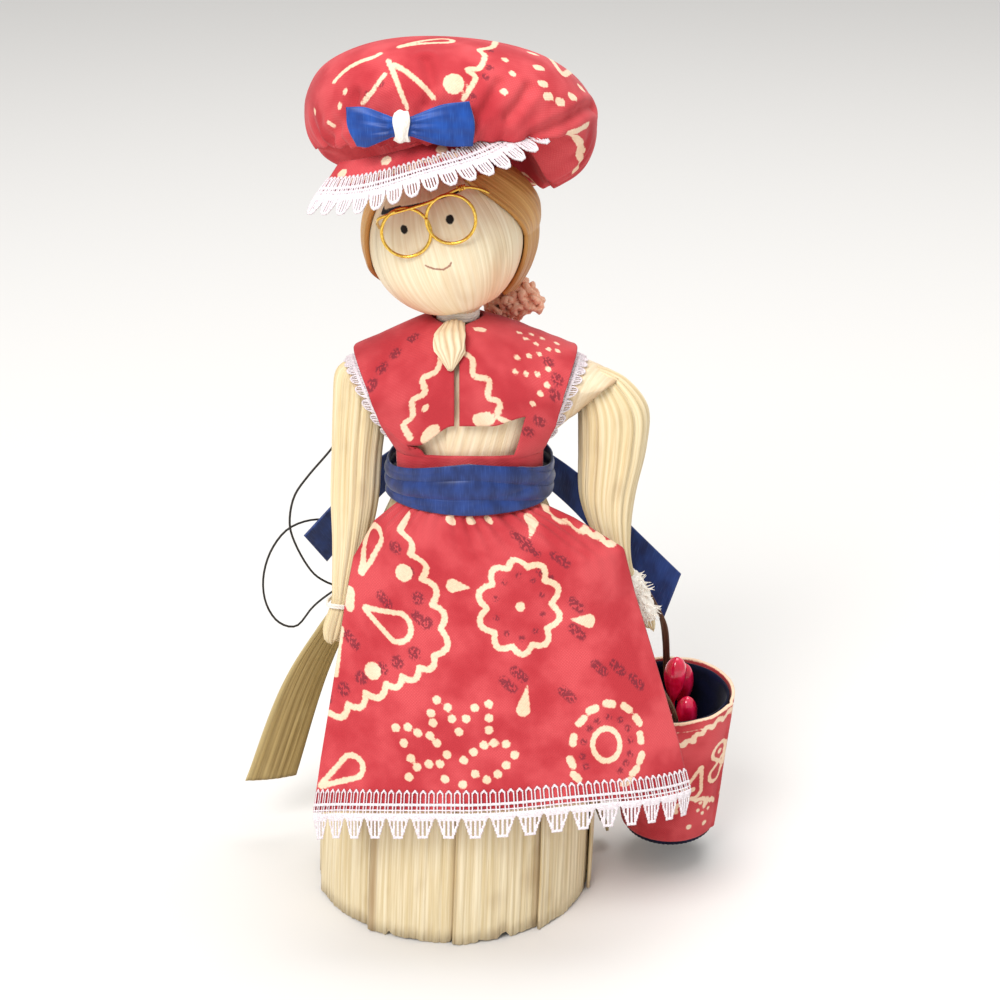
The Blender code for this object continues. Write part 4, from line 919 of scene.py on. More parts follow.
# Half widths of the print's drawn lines
THIN_LINE = 0.42
LINE = 0.45
THICK_LINE = 0.5


def photo_places(points):
    """Where points show in the photo, in its pixels."""
    v = points - EYE
    z = v[..., 1] * math.cos(EYE_TILT) - v[..., 2] * math.sin(EYE_TILT)
    up = v[..., 1] * math.sin(EYE_TILT) + v[..., 2] * math.cos(EYE_TILT)
    middle = PHOTO_SIDE / 2
    return np.stack((middle + FOCAL_PIXELS * v[..., 0] / z, middle - FOCAL_PIXELS * up / z), -1)


class Print:
    """Motifs on one cloth, kept as signed distances for each point of its grid, negative inside."""

    def __init__(self, points, u, v, facing=None):
        u, v = np.broadcast_arrays(u, v)
        self.u = u
        self.v = v
        self.light = np.full(u.shape, FAR)
        self.dark = np.full(u.shape, FAR)
        shown = np.ones(u.shape, bool) if facing is None else facing
        self.seen = photo_places(points)[shown]
        self.seen_flat = np.stack((u[shown], v[shown]), -1)

    def flat(self, px, py):
        """The cloth's flat place that shows at a pixel of the photo."""
        away = np.hypot(self.seen[:, 0] - px, self.seen[:, 1] - py)
        near = np.argpartition(away, 5)[:5]
        weight = 1.0 / (away[near] ** 2 + 0.05)
        return (self.seen_flat[near] * weight[:, None]).sum(0) / weight.sum()

    def put(self, distance, dark=False):
        if dark:
            self.dark = np.minimum(self.dark, distance)
        else:
            self.light = np.minimum(self.light, distance)

    def tapered(self, a, b, radius_a, radius_b, dark=False):
        dx = b[0] - a[0]
        dy = b[1] - a[1]
        t = np.clip(((self.u - a[0]) * dx + (self.v - a[1]) * dy) / max(dx * dx + dy * dy, 1e-6), 0, 1)
        away = np.hypot(self.u - a[0] - t * dx, self.v - a[1] - t * dy)
        self.put(away - (radius_a + (radius_b - radius_a) * t), dark)

    def line(self, points, half, dark=False):
        for a, b in zip(points, points[1:]):
            self.tapered(a, b, half, half, dark)

    def dot(self, place, radius, dark=False):
        self.tapered(place, place, radius, radius, dark)

    def dots(self, places, radius, dark=False):
        """A dot at each of the photo's pixels."""
        for place in self.pixels(places):
            self.dot(place, radius, dark)

    def drop(self, tip, body, radius, line=0.0):
        """A teardrop, filled, or drawn as an outline when line gives its half width."""
        dx = body[0] - tip[0]
        dy = body[1] - tip[1]
        t = np.clip(((self.u - tip[0]) * dx + (self.v - tip[1]) * dy) / (dx * dx + dy * dy), 0, 1)
        away = np.hypot(self.u - tip[0] - t * dx, self.v - tip[1] - t * dy)
        away = away - radius * (0.12 + 0.88 * t ** 1.1)
        self.put(np.abs(away) - line if line else away)

    def scallops(self, cusps, half, swell, wing=1.0):
        """Arcs between cusps, each swelling to one side by a share of its length."""
        for a, b in zip(cusps, cusps[1:]):
            a = np.asarray(a, float)
            b = np.asarray(b, float)
            way = b - a
            out = wing * np.array((way[1], -way[0])) * swell
            t = np.linspace(0, 1, 6)[:, None]
            self.line(a + way * t + out * 4 * t * (1 - t), half)

    def ring(self, place, wide, high, half):
        off = np.hypot((self.u - place[0]) / wide, (self.v - place[1]) / high)
        self.put(np.abs(off - 1) * (wide + high) / 2 - half)

    def flower(self, place, wide, high, lobes, half):
        angles = np.linspace(0, TURN, lobes + 1)
        cusps = [(place[0] + wide * math.cos(a), place[1] + high * math.sin(a)) for a in angles]
        self.scallops(cusps, half, 0.46)

    def fields(self):
        return {"flat": flat_field(self.u, self.v), "print": np.clip(self.light, -FAR, FAR).ravel(),
                "dark": np.clip(self.dark, -FAR, FAR).ravel()}

    def pixels(self, places):
        """The cloth's flat places that show at pixels of the photo."""
        return [self.flat(px, py) for px, py in places]

    def scatter(self, places, seed):
        """Ordinary motifs where the photo shows nothing, one at each place."""
        rng = np.random.default_rng(seed)
        for number, (u, v) in enumerate(places):
            turn = rng.uniform(0, TURN)
            way = np.array((math.cos(turn), math.sin(turn)))
            place = np.array((u, v), float)
            kind = number % 4
            if kind == 0:
                self.drop(place - 2.3 * way, place + 1.2 * way, 1.9, 0.4)
                self.dot(place + 1.2 * way, 0.6)
            elif kind == 1:
                for k in range(6):
                    a = turn + k * TURN / 6
                    self.dot(place + 1.6 * np.array((math.cos(a), math.sin(a))), 0.42)
            elif kind == 2:
                other = np.array((-way[1], way[0]))
                cusps = [place + way * 2.0 * (k - 2) + other * 0.5 * (k % 2) for k in range(5)]
                self.scallops(cusps, 0.42, 0.35)
            else:
                self.drop(place - 1.8 * way, place + 1.5 * way, 1.0)
                self.dot(place + 4.2 * way, 0.75, dark=True)


# Head, face and hair

HEAD_RADIUS = 12.6
HEAD_HEIGHT = 118.2
HEAD_ROLL = math.radians(15.6)
NECK_RADIUS = 2.7
NECK_FOOT = 104.4
NECK_TOP = 107.3
HEAD_CENTRE = np.array((HEAD_SHIFT, 0.0, HEAD_HEIGHT))
HEAD_SIDE = np.array((math.cos(HEAD_ROLL), 0.0, math.sin(HEAD_ROLL)))
HEAD_UP = np.array((-math.sin(HEAD_ROLL), 0.0, math.cos(HEAD_ROLL)))
HEAD_BACK = np.array((0.0, 1.0, 0.0))

# On the face, in millimetres from the middle of the front: to the side, and up
LEFT_EYE = (-5.1, 5.83)
RIGHT_EYE = (2.58, 5.61)
EYE_HALF = (0.66, 0.74)
MOUTH = ((-3.1, -0.4), (-2.0, -1.2), (-0.5, -1.72), (0.66, -1.32), (0.95, -0.95))
MOUTH_HALF = 0.15
# The edge of the painted shade over the forehead, along which a painted black shadow line runs, in the
# photo's pixels
FOREHEAD_SHADE_EDGE = ((374, 205), (382, 212), (400, 208), (420, 203), (440, 198), (462, 191))


def distance_to_line(u, v, points, half):
    """Signed distance to a stroke through the points."""
    nearest = np.full(np.shape(u), 9.0)
    for (ax, ay), (bx, by) in zip(points, points[1:]):
        dx = bx - ax
        dy = by - ay
        t = np.clip(((u - ax) * dx + (v - ay) * dy) / (dx * dx + dy * dy), 0, 1)
        nearest = np.minimum(nearest, np.hypot(u - ax - t * dx, v - ay - t * dy))
    return nearest - half


def make_head():
    turn = np.concatenate((np.linspace(-58, 58, 196), np.linspace(60, 300, 50)))
    turn = np.radians(turn)[None, :]
    polar = np.concatenate((np.linspace(3, 50, 16), np.linspace(50.8, 110, 104), np.linspace(112, 150, 18)))
    polar = np.radians(polar)[:, None]
    rise = math.pi / 2 - polar
    u = turn * np.cos(rise) * HEAD_RADIUS
    v = rise * HEAD_RADIUS + 0 * turn
    ribs = rib_height(52 * turn, polar * 6, 6) * np.sin(polar) ** 2
    radius = (HEAD_RADIUS - 0.05 + 0.035 * ribs + 0.05 * ripple(turn * 3, polar * 2, 9))[..., None]
    level = np.sin(polar) * np.sin(turn)
    front = -np.sin(polar) * np.cos(turn)
    upward = np.cos(polar) + 0 * turn
    way = level[..., None] * HEAD_SIDE + front[..., None] * HEAD_BACK + upward[..., None] * HEAD_UP
    skull = HEAD_CENTRE + radius * way
    neck = []
    for share in np.linspace(0.12, 1.0, 14):
        height = NECK_TOP + (NECK_FOOT - NECK_TOP) * share
        gather = NECK_RADIUS + 0.18 * np.sin(30 * turn[0]) * (1 - 0.5 * share)
        ring = stacked(NECK_SHIFT + gather * np.sin(turn[0]), -gather * np.cos(turn[0]), height)
        ease = smooth_step(0.0, 0.55, share)
        neck.append(skull[-1] * (1 - ease) + ring * ease)
    points = np.concatenate((skull, np.array(neck)))
    extra = len(neck)
    fill = np.vstack((u, np.repeat(u[-1:], extra, 0)))
    along = np.vstack((v, v[-1:] - 0.4 * np.arange(1, extra + 1)[:, None] + 0 * u[-1:]))
    eyes = np.full(fill.shape, 9.0)
    for side, up in (LEFT_EYE, RIGHT_EYE):
        off = np.hypot((fill - side) / EYE_HALF[0], (along - up) / EYE_HALF[1])
        eyes = np.minimum(eyes, (off - 1.0) * EYE_HALF[0])
    mouth = distance_to_line(fill, along, MOUTH, MOUTH_HALF)
    cheeks = smooth_step(-1.0, -9.0, along) * (0.2 + 0.8 * smooth_step(3.0, 10.0, np.abs(fill + 1.0)))
    cheeks = cheeks + 0.6 * smooth_step(-7.0, -13.0, along) * smooth_step(1.0, 7.0, np.abs(fill + 1.0))
    front = np.abs(fill) < 14.0
    # Painted shadow: a black line along the edge of the forehead's shade, drawn with the eyes' black.
    brow_shadow = Print(points, fill, along, front)
    places = brow_shadow.pixels(FOREHEAD_SHADE_EDGE)
    brow_shadow.line(places[:3], 0.42)
    brow_shadow.line(places[2:], 0.2)
    eyes = np.minimum(eyes, brow_shadow.light)
    # Painted shade over the forehead, above that line.
    edge_u, edge_v = np.array(places).T
    over = smooth_step(-0.2, 0.4, along - np.interp(fill, edge_u, edge_v)) * (np.abs(fill + 1.5) < 7.5)
    around = np.repeat(turn, len(points), 0)
    gather_shade = smooth_step(-12.0, -18.0, along) * np.clip(np.sin(30 * around), 0, 1)
    cheeks = np.clip(cheeks * (0.8 + 0.3 * ripple(fill * 0.8, along * 0.2, 12)), 0, 1)
    shade = np.clip(0.5 * gather_shade + 0.55 * over, 0, 1)
    fields = {"flat": flat_field(around * HEAD_RADIUS, along), "blush": cheeks, "eyes": eyes, "mouth": mouth,
              "shade": shade}
    capped("head", points, FACE, "head_husk", fields)


make_head()

HAIR_T = 0.7
HAIR_HALVES = np.array((15.15, 14.05, 14.25))
HAIR_SHIFT = np.array((1.3, 0.8, 0.2))
HAIR_HIGH = math.radians(32.0)
HAIR_LOW = math.radians(134.0)


def make_hair(name, side, node, seed):
    rows = 66
    cols = 88
    polar = np.linspace(HAIR_HIGH, HAIR_LOW, rows)[:, None]
    if side > 0:
        lower = np.minimum(1.0, (polar - HAIR_HIGH) / math.radians(55.0))
        start = math.radians(28.0) + lower * math.radians(58.0)
    else:
        start = math.radians(-74.0) - math.radians(34.0) * smooth_step(1.75, 2.35, polar)
    across = np.linspace(0, 1, cols)[None, :]
    turn = start + (side * math.radians(177.5) - start) * across
    level = np.sin(polar)
    way = stacked(level * np.sin(turn), -level * np.cos(turn), np.cos(polar))
    strands = rib_height(95 * across + 10 * ripple(polar * 1.2, across * 2, seed, 2), polar * 5, seed)
    lock = ripple(across * 14, polar * 2.2, seed + 3, 4)
    lift = (0.07 * strands + 0.22 * lock * np.clip(across * 5, 0, 1))[..., None]
    hug = HEAD_CENTRE + (HEAD_RADIUS + 0.5) * way
    full = HEAD_CENTRE + HAIR_SHIFT + HAIR_HALVES * way
    blend = smooth_step(0.0, 2.5 / 7, across)[..., None]
    points = hug * (1 - blend) + full * blend + lift * way
    v = path_lengths(points, 0)
    low = smooth_step(0.45, 1.0, (polar - HAIR_HIGH) / (HAIR_LOW - HAIR_HIGH))
    shade = np.clip(0.75 * low + 0.35 * np.clip(-strands, 0, 1) + 0.3 * np.clip(-lock, 0, 1), 0, 1)
    fields = {"flat": flat_field(across * 30 + 0 * polar, v), "shade": shade.ravel()}
    sheet(name, points, HUSK_HAIR, HAIR_T, node, fields)


make_hair("hair_strips_right", 1, "hair_right", 3)
make_hair("hair_strips_left", -1, "hair_left", 14)

YARN_CENTRE = np.array((10.4, 11.2, 104.9))
YARN_HALVES = np.array((4.7, 3.7, 2.8))
CURLS = 34
GOLDEN_TURN = 2.399963


def curl(centre, axis, radius, turns, thickness, seed):
    """A small loose coil of nubbly yarn."""
    rng = np.random.default_rng(seed)
    axis = unit(axis)
    side = unit(np.cross(axis, (0.3, 0.2, 0.9)))
    other = np.cross(axis, side)
    t = np.linspace(0, 1, 34)[:, None]
    angle = TURN * turns * t + rng.uniform(0, TURN)
    wide = radius * (0.7 + 0.3 * np.sin(2.2 * angle))
    route = centre + wide * (np.cos(angle) * side + np.sin(angle) * other) + axis * (t - 0.5) * radius * 1.5
    nubs = thickness * (1 + 0.22 * np.sin(np.linspace(0, 40, 34) + rng.uniform(0, 6)))
    return strand(route, nubs, 7, side_way=axis + 0.31)


def make_yarn():
    parts = []
    rng = np.random.default_rng(21)
    for number in range(CURLS):
        height = 1 - 2 * (number + 0.5) / CURLS
        around = GOLDEN_TURN * number
        level = math.sqrt(1 - height * height)
        way = np.array((level * math.cos(around), level * math.sin(around), height))
        centre = YARN_CENTRE + YARN_HALVES * way * rng.uniform(0.72, 0.98)
        parts.append(curl(centre, way + rng.uniform(-0.5, 0.5, 3), rng.uniform(1.1, 1.5), 1.5, 0.56, number))
    joined("hair_yarn", parts, YARN, "hair_tie_yarn")


make_yarn()


# Neck tie, waist tie and throat knot

STRING_SIDES = 8


def wound_string(name, centre, halves, low, high, winds, radius, node):
    """White string wound several times round an oval."""
    t = np.linspace(0, 1, 60 * winds)
    angle = TURN * winds * t
    height = low + (high - low) * t + 0.12 * np.sin(3 * angle + 1.0)
    route = stacked(centre[0] + halves[0] * np.cos(angle), centre[1] + halves[1] * np.sin(angle), height)
    field = flat_field(once_round(STRING_SIDES)[None, :] * radius, path_lengths(route)[:, None])
    capped(name, tube_grid(route, radius, STRING_SIDES), STRING, node, {"flat": field})


wound_string("neck_string", (NECK_SHIFT, 0.0), (3.25, 3.25), 104.9, 106.4, 3, 0.34, "neck_tie")
wound_string("waist_string", (3.08, 0.0), (12.4, 11.0), 76.2, 76.8, 2, 0.22, "waist_tie")


# Where the tuft lies on the body: share down the front, and millimetres out
THROAT_ROUTE = ((-0.2, 3.4), (-0.26, 3.2), (-0.32, 2.7))


def make_throat_knot():
    """A pinched tuft of husk that comes out of the neck tie and lies over the cape's slit."""
    centre = NECK_ASIDE - 0.9
    route = [(NECK_SHIFT - 0.5, -4.3, NECK_FOOT + 0.9)]
    for down, out in THROAT_ROUTE:
        route.append(tuple(body_point(np.array(centre), np.array(down), np.array(out))))
    route = smooth_route(route, 40)
    share = np.linspace(0, 1, 40)
    wide = np.interp(share, (0, 0.3, 0.62, 1.0), (1.5, 2.5, 2.3, 0.4))[:, None]
    deep = np.interp(share, (0, 0.3, 0.62, 1.0), (0.7, 0.95, 0.8, 0.25))[:, None]
    angle = once_round(72)[None, :]
    ribs = 1 + 0.08 * np.sin(11 * angle + 7 * share[:, None]) + 0.07 * np.sin(5 * angle - 4 * share[:, None])
    across = np.array((1.0, 0.0, 0.0))
    outward = np.array((0.0, -0.6, 1.0))
    points = route[:, None, :] + (wide * ribs * np.cos(angle))[..., None] * across
    points = points + (deep * ribs * np.sin(angle))[..., None] * outward
    shade = np.clip(0.55 * np.sin(11 * angle + 7 * share[:, None] + math.pi), 0, 1)
    field = {"flat": flat_field(angle * 2.4, share[:, None] * 12 + 0 * angle), "shade": shade}
    capped("throat_tuft", points, HUSK_PALE, "throat_knot", field)


make_throat_knot()


# Cape: a slit cloth over the shoulders, with lace at its edges

CLOTH_T = 0.4
LACE_T = 0.26
CAPE_OUT = 1.375
CAPE_LACE_OUT = 0.695
CAPE_LOFT = 0.7
CAPE_LOBE_SHARE = -0.6
CAPE_BAND_SHARE = -0.79
CAPE_CLOSED_SHARE = 0.24
CAPE_STRAP = 4.5
SLIT_HALF = 0.4
CAPE_LEFT_REACH = 18.3
CAPE_RIGHT_REACH = 17.0
CAPE_WAIST_HALF = 10.8
CAPE_FULLNESS = 1.6
CAPE_CELLS = 12
CAPE_ROWS = 143


def cape_reach(share, side):
    top = CAPE_LEFT_REACH if side < 0 else CAPE_RIGHT_REACH
    return side * side_reach(share, top, CAPE_WAIST_HALF, CAPE_FULLNESS)


def cape_columns(share):
    """Sideways places of the cape's columns for one side: outer edge, strap, inner edge."""
    sides = []
    for side in (-1, 1):
        outer = cape_reach(share, side)
        slit = NECK_ASIDE + side * SLIT_HALF
        opening = NECK_ASIDE + side * 3.75
        open_to = np.where(share < 0, 0.13, CAPE_CLOSED_SHARE)
        open_share = np.maximum(0.0, 1.0 - (np.abs(share) / open_to) ** 2)
        inner = slit + (opening - slit) * open_share
        strap = outer - side * CAPE_STRAP
        stops = stacked(outer, (outer + strap) / 2, strap, (strap + inner) / 2, inner)
        fine = np.linspace(0, 4, 4 * CAPE_CELLS + 1)
        sides.append(np.array([np.interp(fine, range(5), row) for row in stops]))
    return np.hstack((sides[0], sides[1][:, ::-1]))


LEFT_INNER_SCALLOPS = ((442, 353), (437, 371), (423, 379), (425, 393), (412, 400), (413, 416), (404, 424),
                       (411, 438))
RIGHT_INNER_SCALLOPS = ((458, 352), (472, 360), (474, 376), (489, 381), (487, 397), (500, 402), (498, 416),
                        (513, 424))
CAPE_DOTS = ((519, 334), (532, 334), (544, 334), (558, 339), (525, 340), (536, 345), (547, 350), (557, 352),
             (517, 358), (529, 357), (539, 355), (515, 372), (526, 374), (537, 375), (548, 370), (547, 385),
             (540, 394), (532, 403))
CAPE_HATCH = ((413, 339), (396, 354), (382, 369), (372, 385), (548, 363), (557, 380), (554, 395), (539, 421),
              (528, 432))
CAPE_BACK = ((-11, 20), (-3, 26), (6, 19), (12, 27), (-9, 33), (1, 38), (9, 35), (-6, 46), (5, 47), (-1, 56))


def make_cape():
    share = np.linspace(-1, 1, CAPE_ROWS)
    aside = cape_columns(share)
    rows = np.broadcast_to(share[:, None], aside.shape)
    low = np.abs(rows) > 0.72
    out = CAPE_OUT + CAPE_LOFT * (1 - np.abs(rows)) + 0.14 * ripple(aside * 0.35, rows * 5, 3)
    edge = hump(rows, CAPE_LOBE_SHARE, 0.05)
    out = out + 0.25 * edge * (~low) + 0.12 * ripple(aside * 0.9, rows * 9, 8)
    lobe = hump(rows, CAPE_LOBE_SHARE, 0.1)
    left_slope = -0.13 * smooth_step(NECK_ASIDE - 0.5, NECK_ASIDE - 6.0, aside)
    right_slope = 0.06 * smooth_step(NECK_ASIDE + 5.0, NECK_ASIDE + 11.0, aside)
    free = smooth_step(0.2, 4.6, np.where(aside < NECK_ASIDE, aside - aside[:, :1], aside[:, -1:] - aside))
    rows = rows + lobe * (left_slope + right_slope) * free
    points = body_point(aside, rows, out)
    half = 4 * CAPE_CELLS
    cols = aside.shape[1]
    cell_col = np.broadcast_to(np.arange(cols - 1)[None, :], (CAPE_ROWS - 1, cols - 1))
    start = np.broadcast_to(share[:-1, None], cell_col.shape)
    keep = np.ones(start.shape, bool)
    keep[(cell_col == half) & (start < CAPE_CLOSED_SHARE) & (start > CAPE_BAND_SHARE)] = False
    inner_part = (cell_col >= 2 * CAPE_CELLS) & (cell_col < cols - 1 - 2 * CAPE_CELLS)
    keep[inner_part & (start < CAPE_LOBE_SHARE) & (start > CAPE_BAND_SHARE)] = False
    v = path_lengths(points, 0)
    v = v - v[np.argmin(np.abs(share))][None, :]
    front = rows < -0.05
    cloth = Print(points, aside, v, front)
    for line in (LEFT_INNER_SCALLOPS, RIGHT_INNER_SCALLOPS):
        cloth.line(smooth_route(cloth.pixels(line), 60), LINE)
    cloth.dot(cloth.flat(431, 434), 1.45)
    cloth.tapered(cloth.flat(480, 421), cloth.flat(489, 418), 1.15, 0.9)
    cloth.dot(cloth.flat(426, 408), 0.6)
    cloth.tapered(cloth.flat(477, 330), cloth.flat(483, 331), 0.6, 0.5)
    cloth.dots(CAPE_DOTS, 0.5)
    cloth.dots(CAPE_HATCH, 1.0, dark=True)
    cloth.scatter(CAPE_BACK, 5)
    piece = sheet("cape_cloth", points, PRINT, CLOTH_T, "cape", cloth.fields(), keep)
    cloth_area(points, keep)


def lace_keep(along, depth, rounded=False):
    """Where lace has thread: along counts teeth, depth runs from the loops' tops (0) to the tips (1)."""
    place = np.abs(along - np.floor(along) - 0.5)
    loop = np.abs((3 * along) % 1.0 - 0.5)
    above = np.maximum(0.0, 0.1 - depth) * 4.0
    arch = np.hypot(loop, above)
    keep = (arch > 0.2) & (arch < 0.39)
    keep |= np.abs(depth - 0.3) < 0.022
    keep |= np.abs(depth - 0.42) < 0.022
    keep = keep & (depth < 0.5)
    keep |= np.abs(depth - 0.54) < 0.055
    down = np.clip((depth - 0.59) / 0.41, 0, 1)
    half = 0.46 * np.sqrt(1 - 0.97 * down ** 2) if rounded else 0.45 - 0.27 * down
    slit = ((place > 0.05) & (place < 0.13)) | ((place > 0.21) & (place < 0.28))
    tooth = (place < half) & ~(slit & (down > 0.1) & (down < 0.86) & (place < half - 0.08))
    return np.where(depth > 0.59, tooth, keep)


def lace_relief(along, depth):
    """Knots along the chain row, and cords elsewhere."""
    knots = hump(depth, 0.54, 0.06) * np.abs(np.sin(math.pi * 2 * along))
    cords = np.sin(TURN * 4 * along) * (depth > 0.59) + np.cos(TURN * 3 * along) * (depth < 0.5)
    return 0.3 * knots + 0.07 * cords


def make_lace(name, point_at, teeth, start, end, node, cells, rows, rounded=False):
    """Lace over a strip: point_at(s, depth, out) gives places for s from start to end."""
    s = np.linspace(start, end, teeth * cells + 1)[None, :]
    depth = np.linspace(0, 1, rows)[:, None]
    along = (s - start) / (end - start) * teeth + 0 * depth
    across = depth + 0 * s
    relief = lace_relief(along, across) + 0.08 * ripple(along * 1.4, across * 4, len(name))
    points = point_at(s + 0 * depth, across, relief)
    middle = (along[:-1, :-1] + along[1:, 1:]) / 2
    keep = lace_keep(middle, (across[:-1, :-1] + across[1:, 1:]) / 2, rounded)
    flat = flat_field(path_lengths(points, 1), path_lengths(points, 0))
    sheet(name, points, LACE, LACE_T, node, {"flat": flat}, keep)


ARMHOLE_LACE_DEPTH = 3.6


def cape_lace_at(side):
    def place(share, depth, relief):
        outer = cape_reach(share, side)
        tucked = body_point(outer - side * 1.0, share, CAPE_LACE_OUT + 0 * share)
        hem = body_point(outer, share, CAPE_LACE_OUT + 0 * share)
        way = unit(hem - tucked)
        out = np.cross(way, np.gradient(hem, axis=1))
        out = unit(out * np.sign((out * (hem - np.array((3.2, 0, 88.0)))).sum(-1, keepdims=True)))
        return tucked + way * (depth * ARMHOLE_LACE_DEPTH)[..., None] + out * (0.4 * relief)[..., None]
    return place


make_cape()
for lace_name, lace_side in (("cape_lace_left", -1), ("cape_lace_right", 1)):
    make_lace(lace_name + "_edge", cape_lace_at(lace_side), 17, -0.86, 0.86, lace_name, 20, 28, True)


# Apron and its lace hem

APRON_HEM_HEIGHT = 29.0
# The apron's rows: share of its height; sideways reach left and right; depth left, right and in the middle
APRON = (
    (1.0083, -8.0, 14.2, -5.8, -5.8, -11.95),
    (0.9625, -8.2, 14.4, -5.8, -5.8, -11.95),
    (0.9458, -9.4, 14.8, -6.0, -6.0, -12.25),
    (0.8958, -12.8, 20.5, -7.6, -7.0, -13.9),
    (0.7917, -16.2, 28.8, -11.5, -8.0, -16.4),
    (0.6458, -17.6, 30.6, -14.0, -10.0, -19.5),
    (0.4792, -18.8, 33.3, -18.5, -14.5, -22.8),
    (0.3333, -20.0, 35.6, -22.3, -18.2, -25.3),
    (0.1667, -21.4, 38.0, -26.0, -20.6, -27.6),
    (0.0, -22.6, 39.9, -29.6, -21.5, -29.8),
)
APRON_TURN = math.radians(62.0)
APRON_LACE_HEIGHT = 7.7
APRON_TEETH = 17
LACE_OVERLAP = 3.5


def apron_base(share, height):
    share, height = np.broadcast_arrays(share, height)
    heights = [APRON_HEM_HEIGHT + (WAIST_HEIGHT - APRON_HEM_HEIGHT) * row[0] for row in APRON][::-1]
    left, right, y_left, y_right, y_middle = (
        np.interp(height, heights, [row[k] for row in APRON][::-1]) for k in range(1, 6))
    drop = 0.35 * np.minimum(0.0, height - APRON_HEM_HEIGHT)
    turn = share * APRON_TURN
    side = np.sin(turn) / math.sin(APRON_TURN)
    bulge = (np.cos(turn) - math.cos(APRON_TURN)) / (1.0 - math.cos(APRON_TURN))
    edge = y_left + (y_right - y_left) * (side + 1) / 2
    x = (left + right) / 2 + (right - left) / 2 * side
    return np.stack((x, edge * (1 - bulge) + y_middle * bulge + drop, height), -1)


def apron_folds(share, height):
    """Gathers at the waist that open into a few soft folds."""
    low = np.clip((WAIST_HEIGHT - height) / 48.0, 0, 1.3)
    gathers = hump(low, 0, 0.16) * np.sin(46 * share + 1.5 * np.sin(9 * share))
    soft = ripple(share * 5.5, low * 1.2, 31, 4) * smooth_step(0.02, 0.35, low)
    return 0.3 * gathers + 0.55 * soft


HEM_RISE = 1.4
HEM_RISE_PLACE = 0.42
HEM_RISE_SPREAD = 0.42


def hem_rise(share):
    """The hem rides up a little, right of the middle."""
    return HEM_RISE * hump(share, HEM_RISE_PLACE, HEM_RISE_SPREAD)


def apron_point(share, height, out):
    way = lifted(apron_base, share, height, 0 * share + 1.0, 0.01, 0.3) - apron_base(share, height)
    return apron_base(share, height) + way * (np.asarray(out) + apron_folds(share, height))[..., None]


# The apron's print, placed where the photo shows it

BORDER_START = ((409, 514), (404, 524), (400, 532))
BORDER = ((400, 532), (410, 555), (422, 579), (432, 605), (441, 629), (434, 656), (419, 668), (402, 677),
          (386, 684), (366, 693), (348, 705), (330, 713))
UPPER_RIGHT_SCALLOPS = ((543, 505), (567, 523), (585, 528), (600, 531), (614, 541))
# Teardrops: the pixels of tip and body, and the body's radius in millimetres
OUTLINED_DROPS = (((362, 572), (374, 537), 1.55), ((367, 609), (397, 627), 2.4),
                  ((322, 785), (352, 767), 1.9))
FILLED_DROPS = (((530, 538), (530, 520), 1.1), ((571, 620), (588, 621), 1.15), ((527, 686), (523, 710), 1.15),
                ((470, 588), (453, 586), 1.15))
APRON_DOTS = ((404, 573, 1.45), (373, 671, 1.4), (520.5, 607, 0.8), (451, 521, 0.9), (471, 521, 0.8),
              (488, 521, 0.8))
STAR_DOTS = ((437, 700), (448, 707), (431, 713), (452, 719), (433, 723), (466, 719), (475, 708), (489, 704),
             (489, 718), (489, 730), (459, 732), (396, 728), (408, 727), (418, 733), (430, 736), (437, 743),
             (404, 743), (411, 758), (447, 755), (417, 767), (429, 764), (440, 764), (409, 777), (445, 779),
             (464, 760), (474, 752), (484, 745), (494, 743), (506, 744), (475, 774), (487, 780), (498, 774),
             (506, 765), (515, 755), (463, 785))
OVAL_DASHES = ((609, 704), (626, 708), (637, 720), (640, 738), (640, 758), (634, 771), (626, 782), (592, 710),
               (581, 721), (573, 740), (571, 762), (576, 777))
HATCH_MARKS = ((521, 540), (530, 550), (576, 605), (577, 632), (519, 675), (508, 685), (567, 695), (599, 668),
               (617, 668), (636, 682), (385, 600), (352, 640), (420, 620), (560, 560), (545, 575))
EDGE_BLOB = ((350, 592), (350, 607))
EDGE_STROKE = ((340, 629), (337, 650), (336, 674))
FLOWER = (519, 607)
FLOWER_LOBES = 10
OVAL = (606, 745)


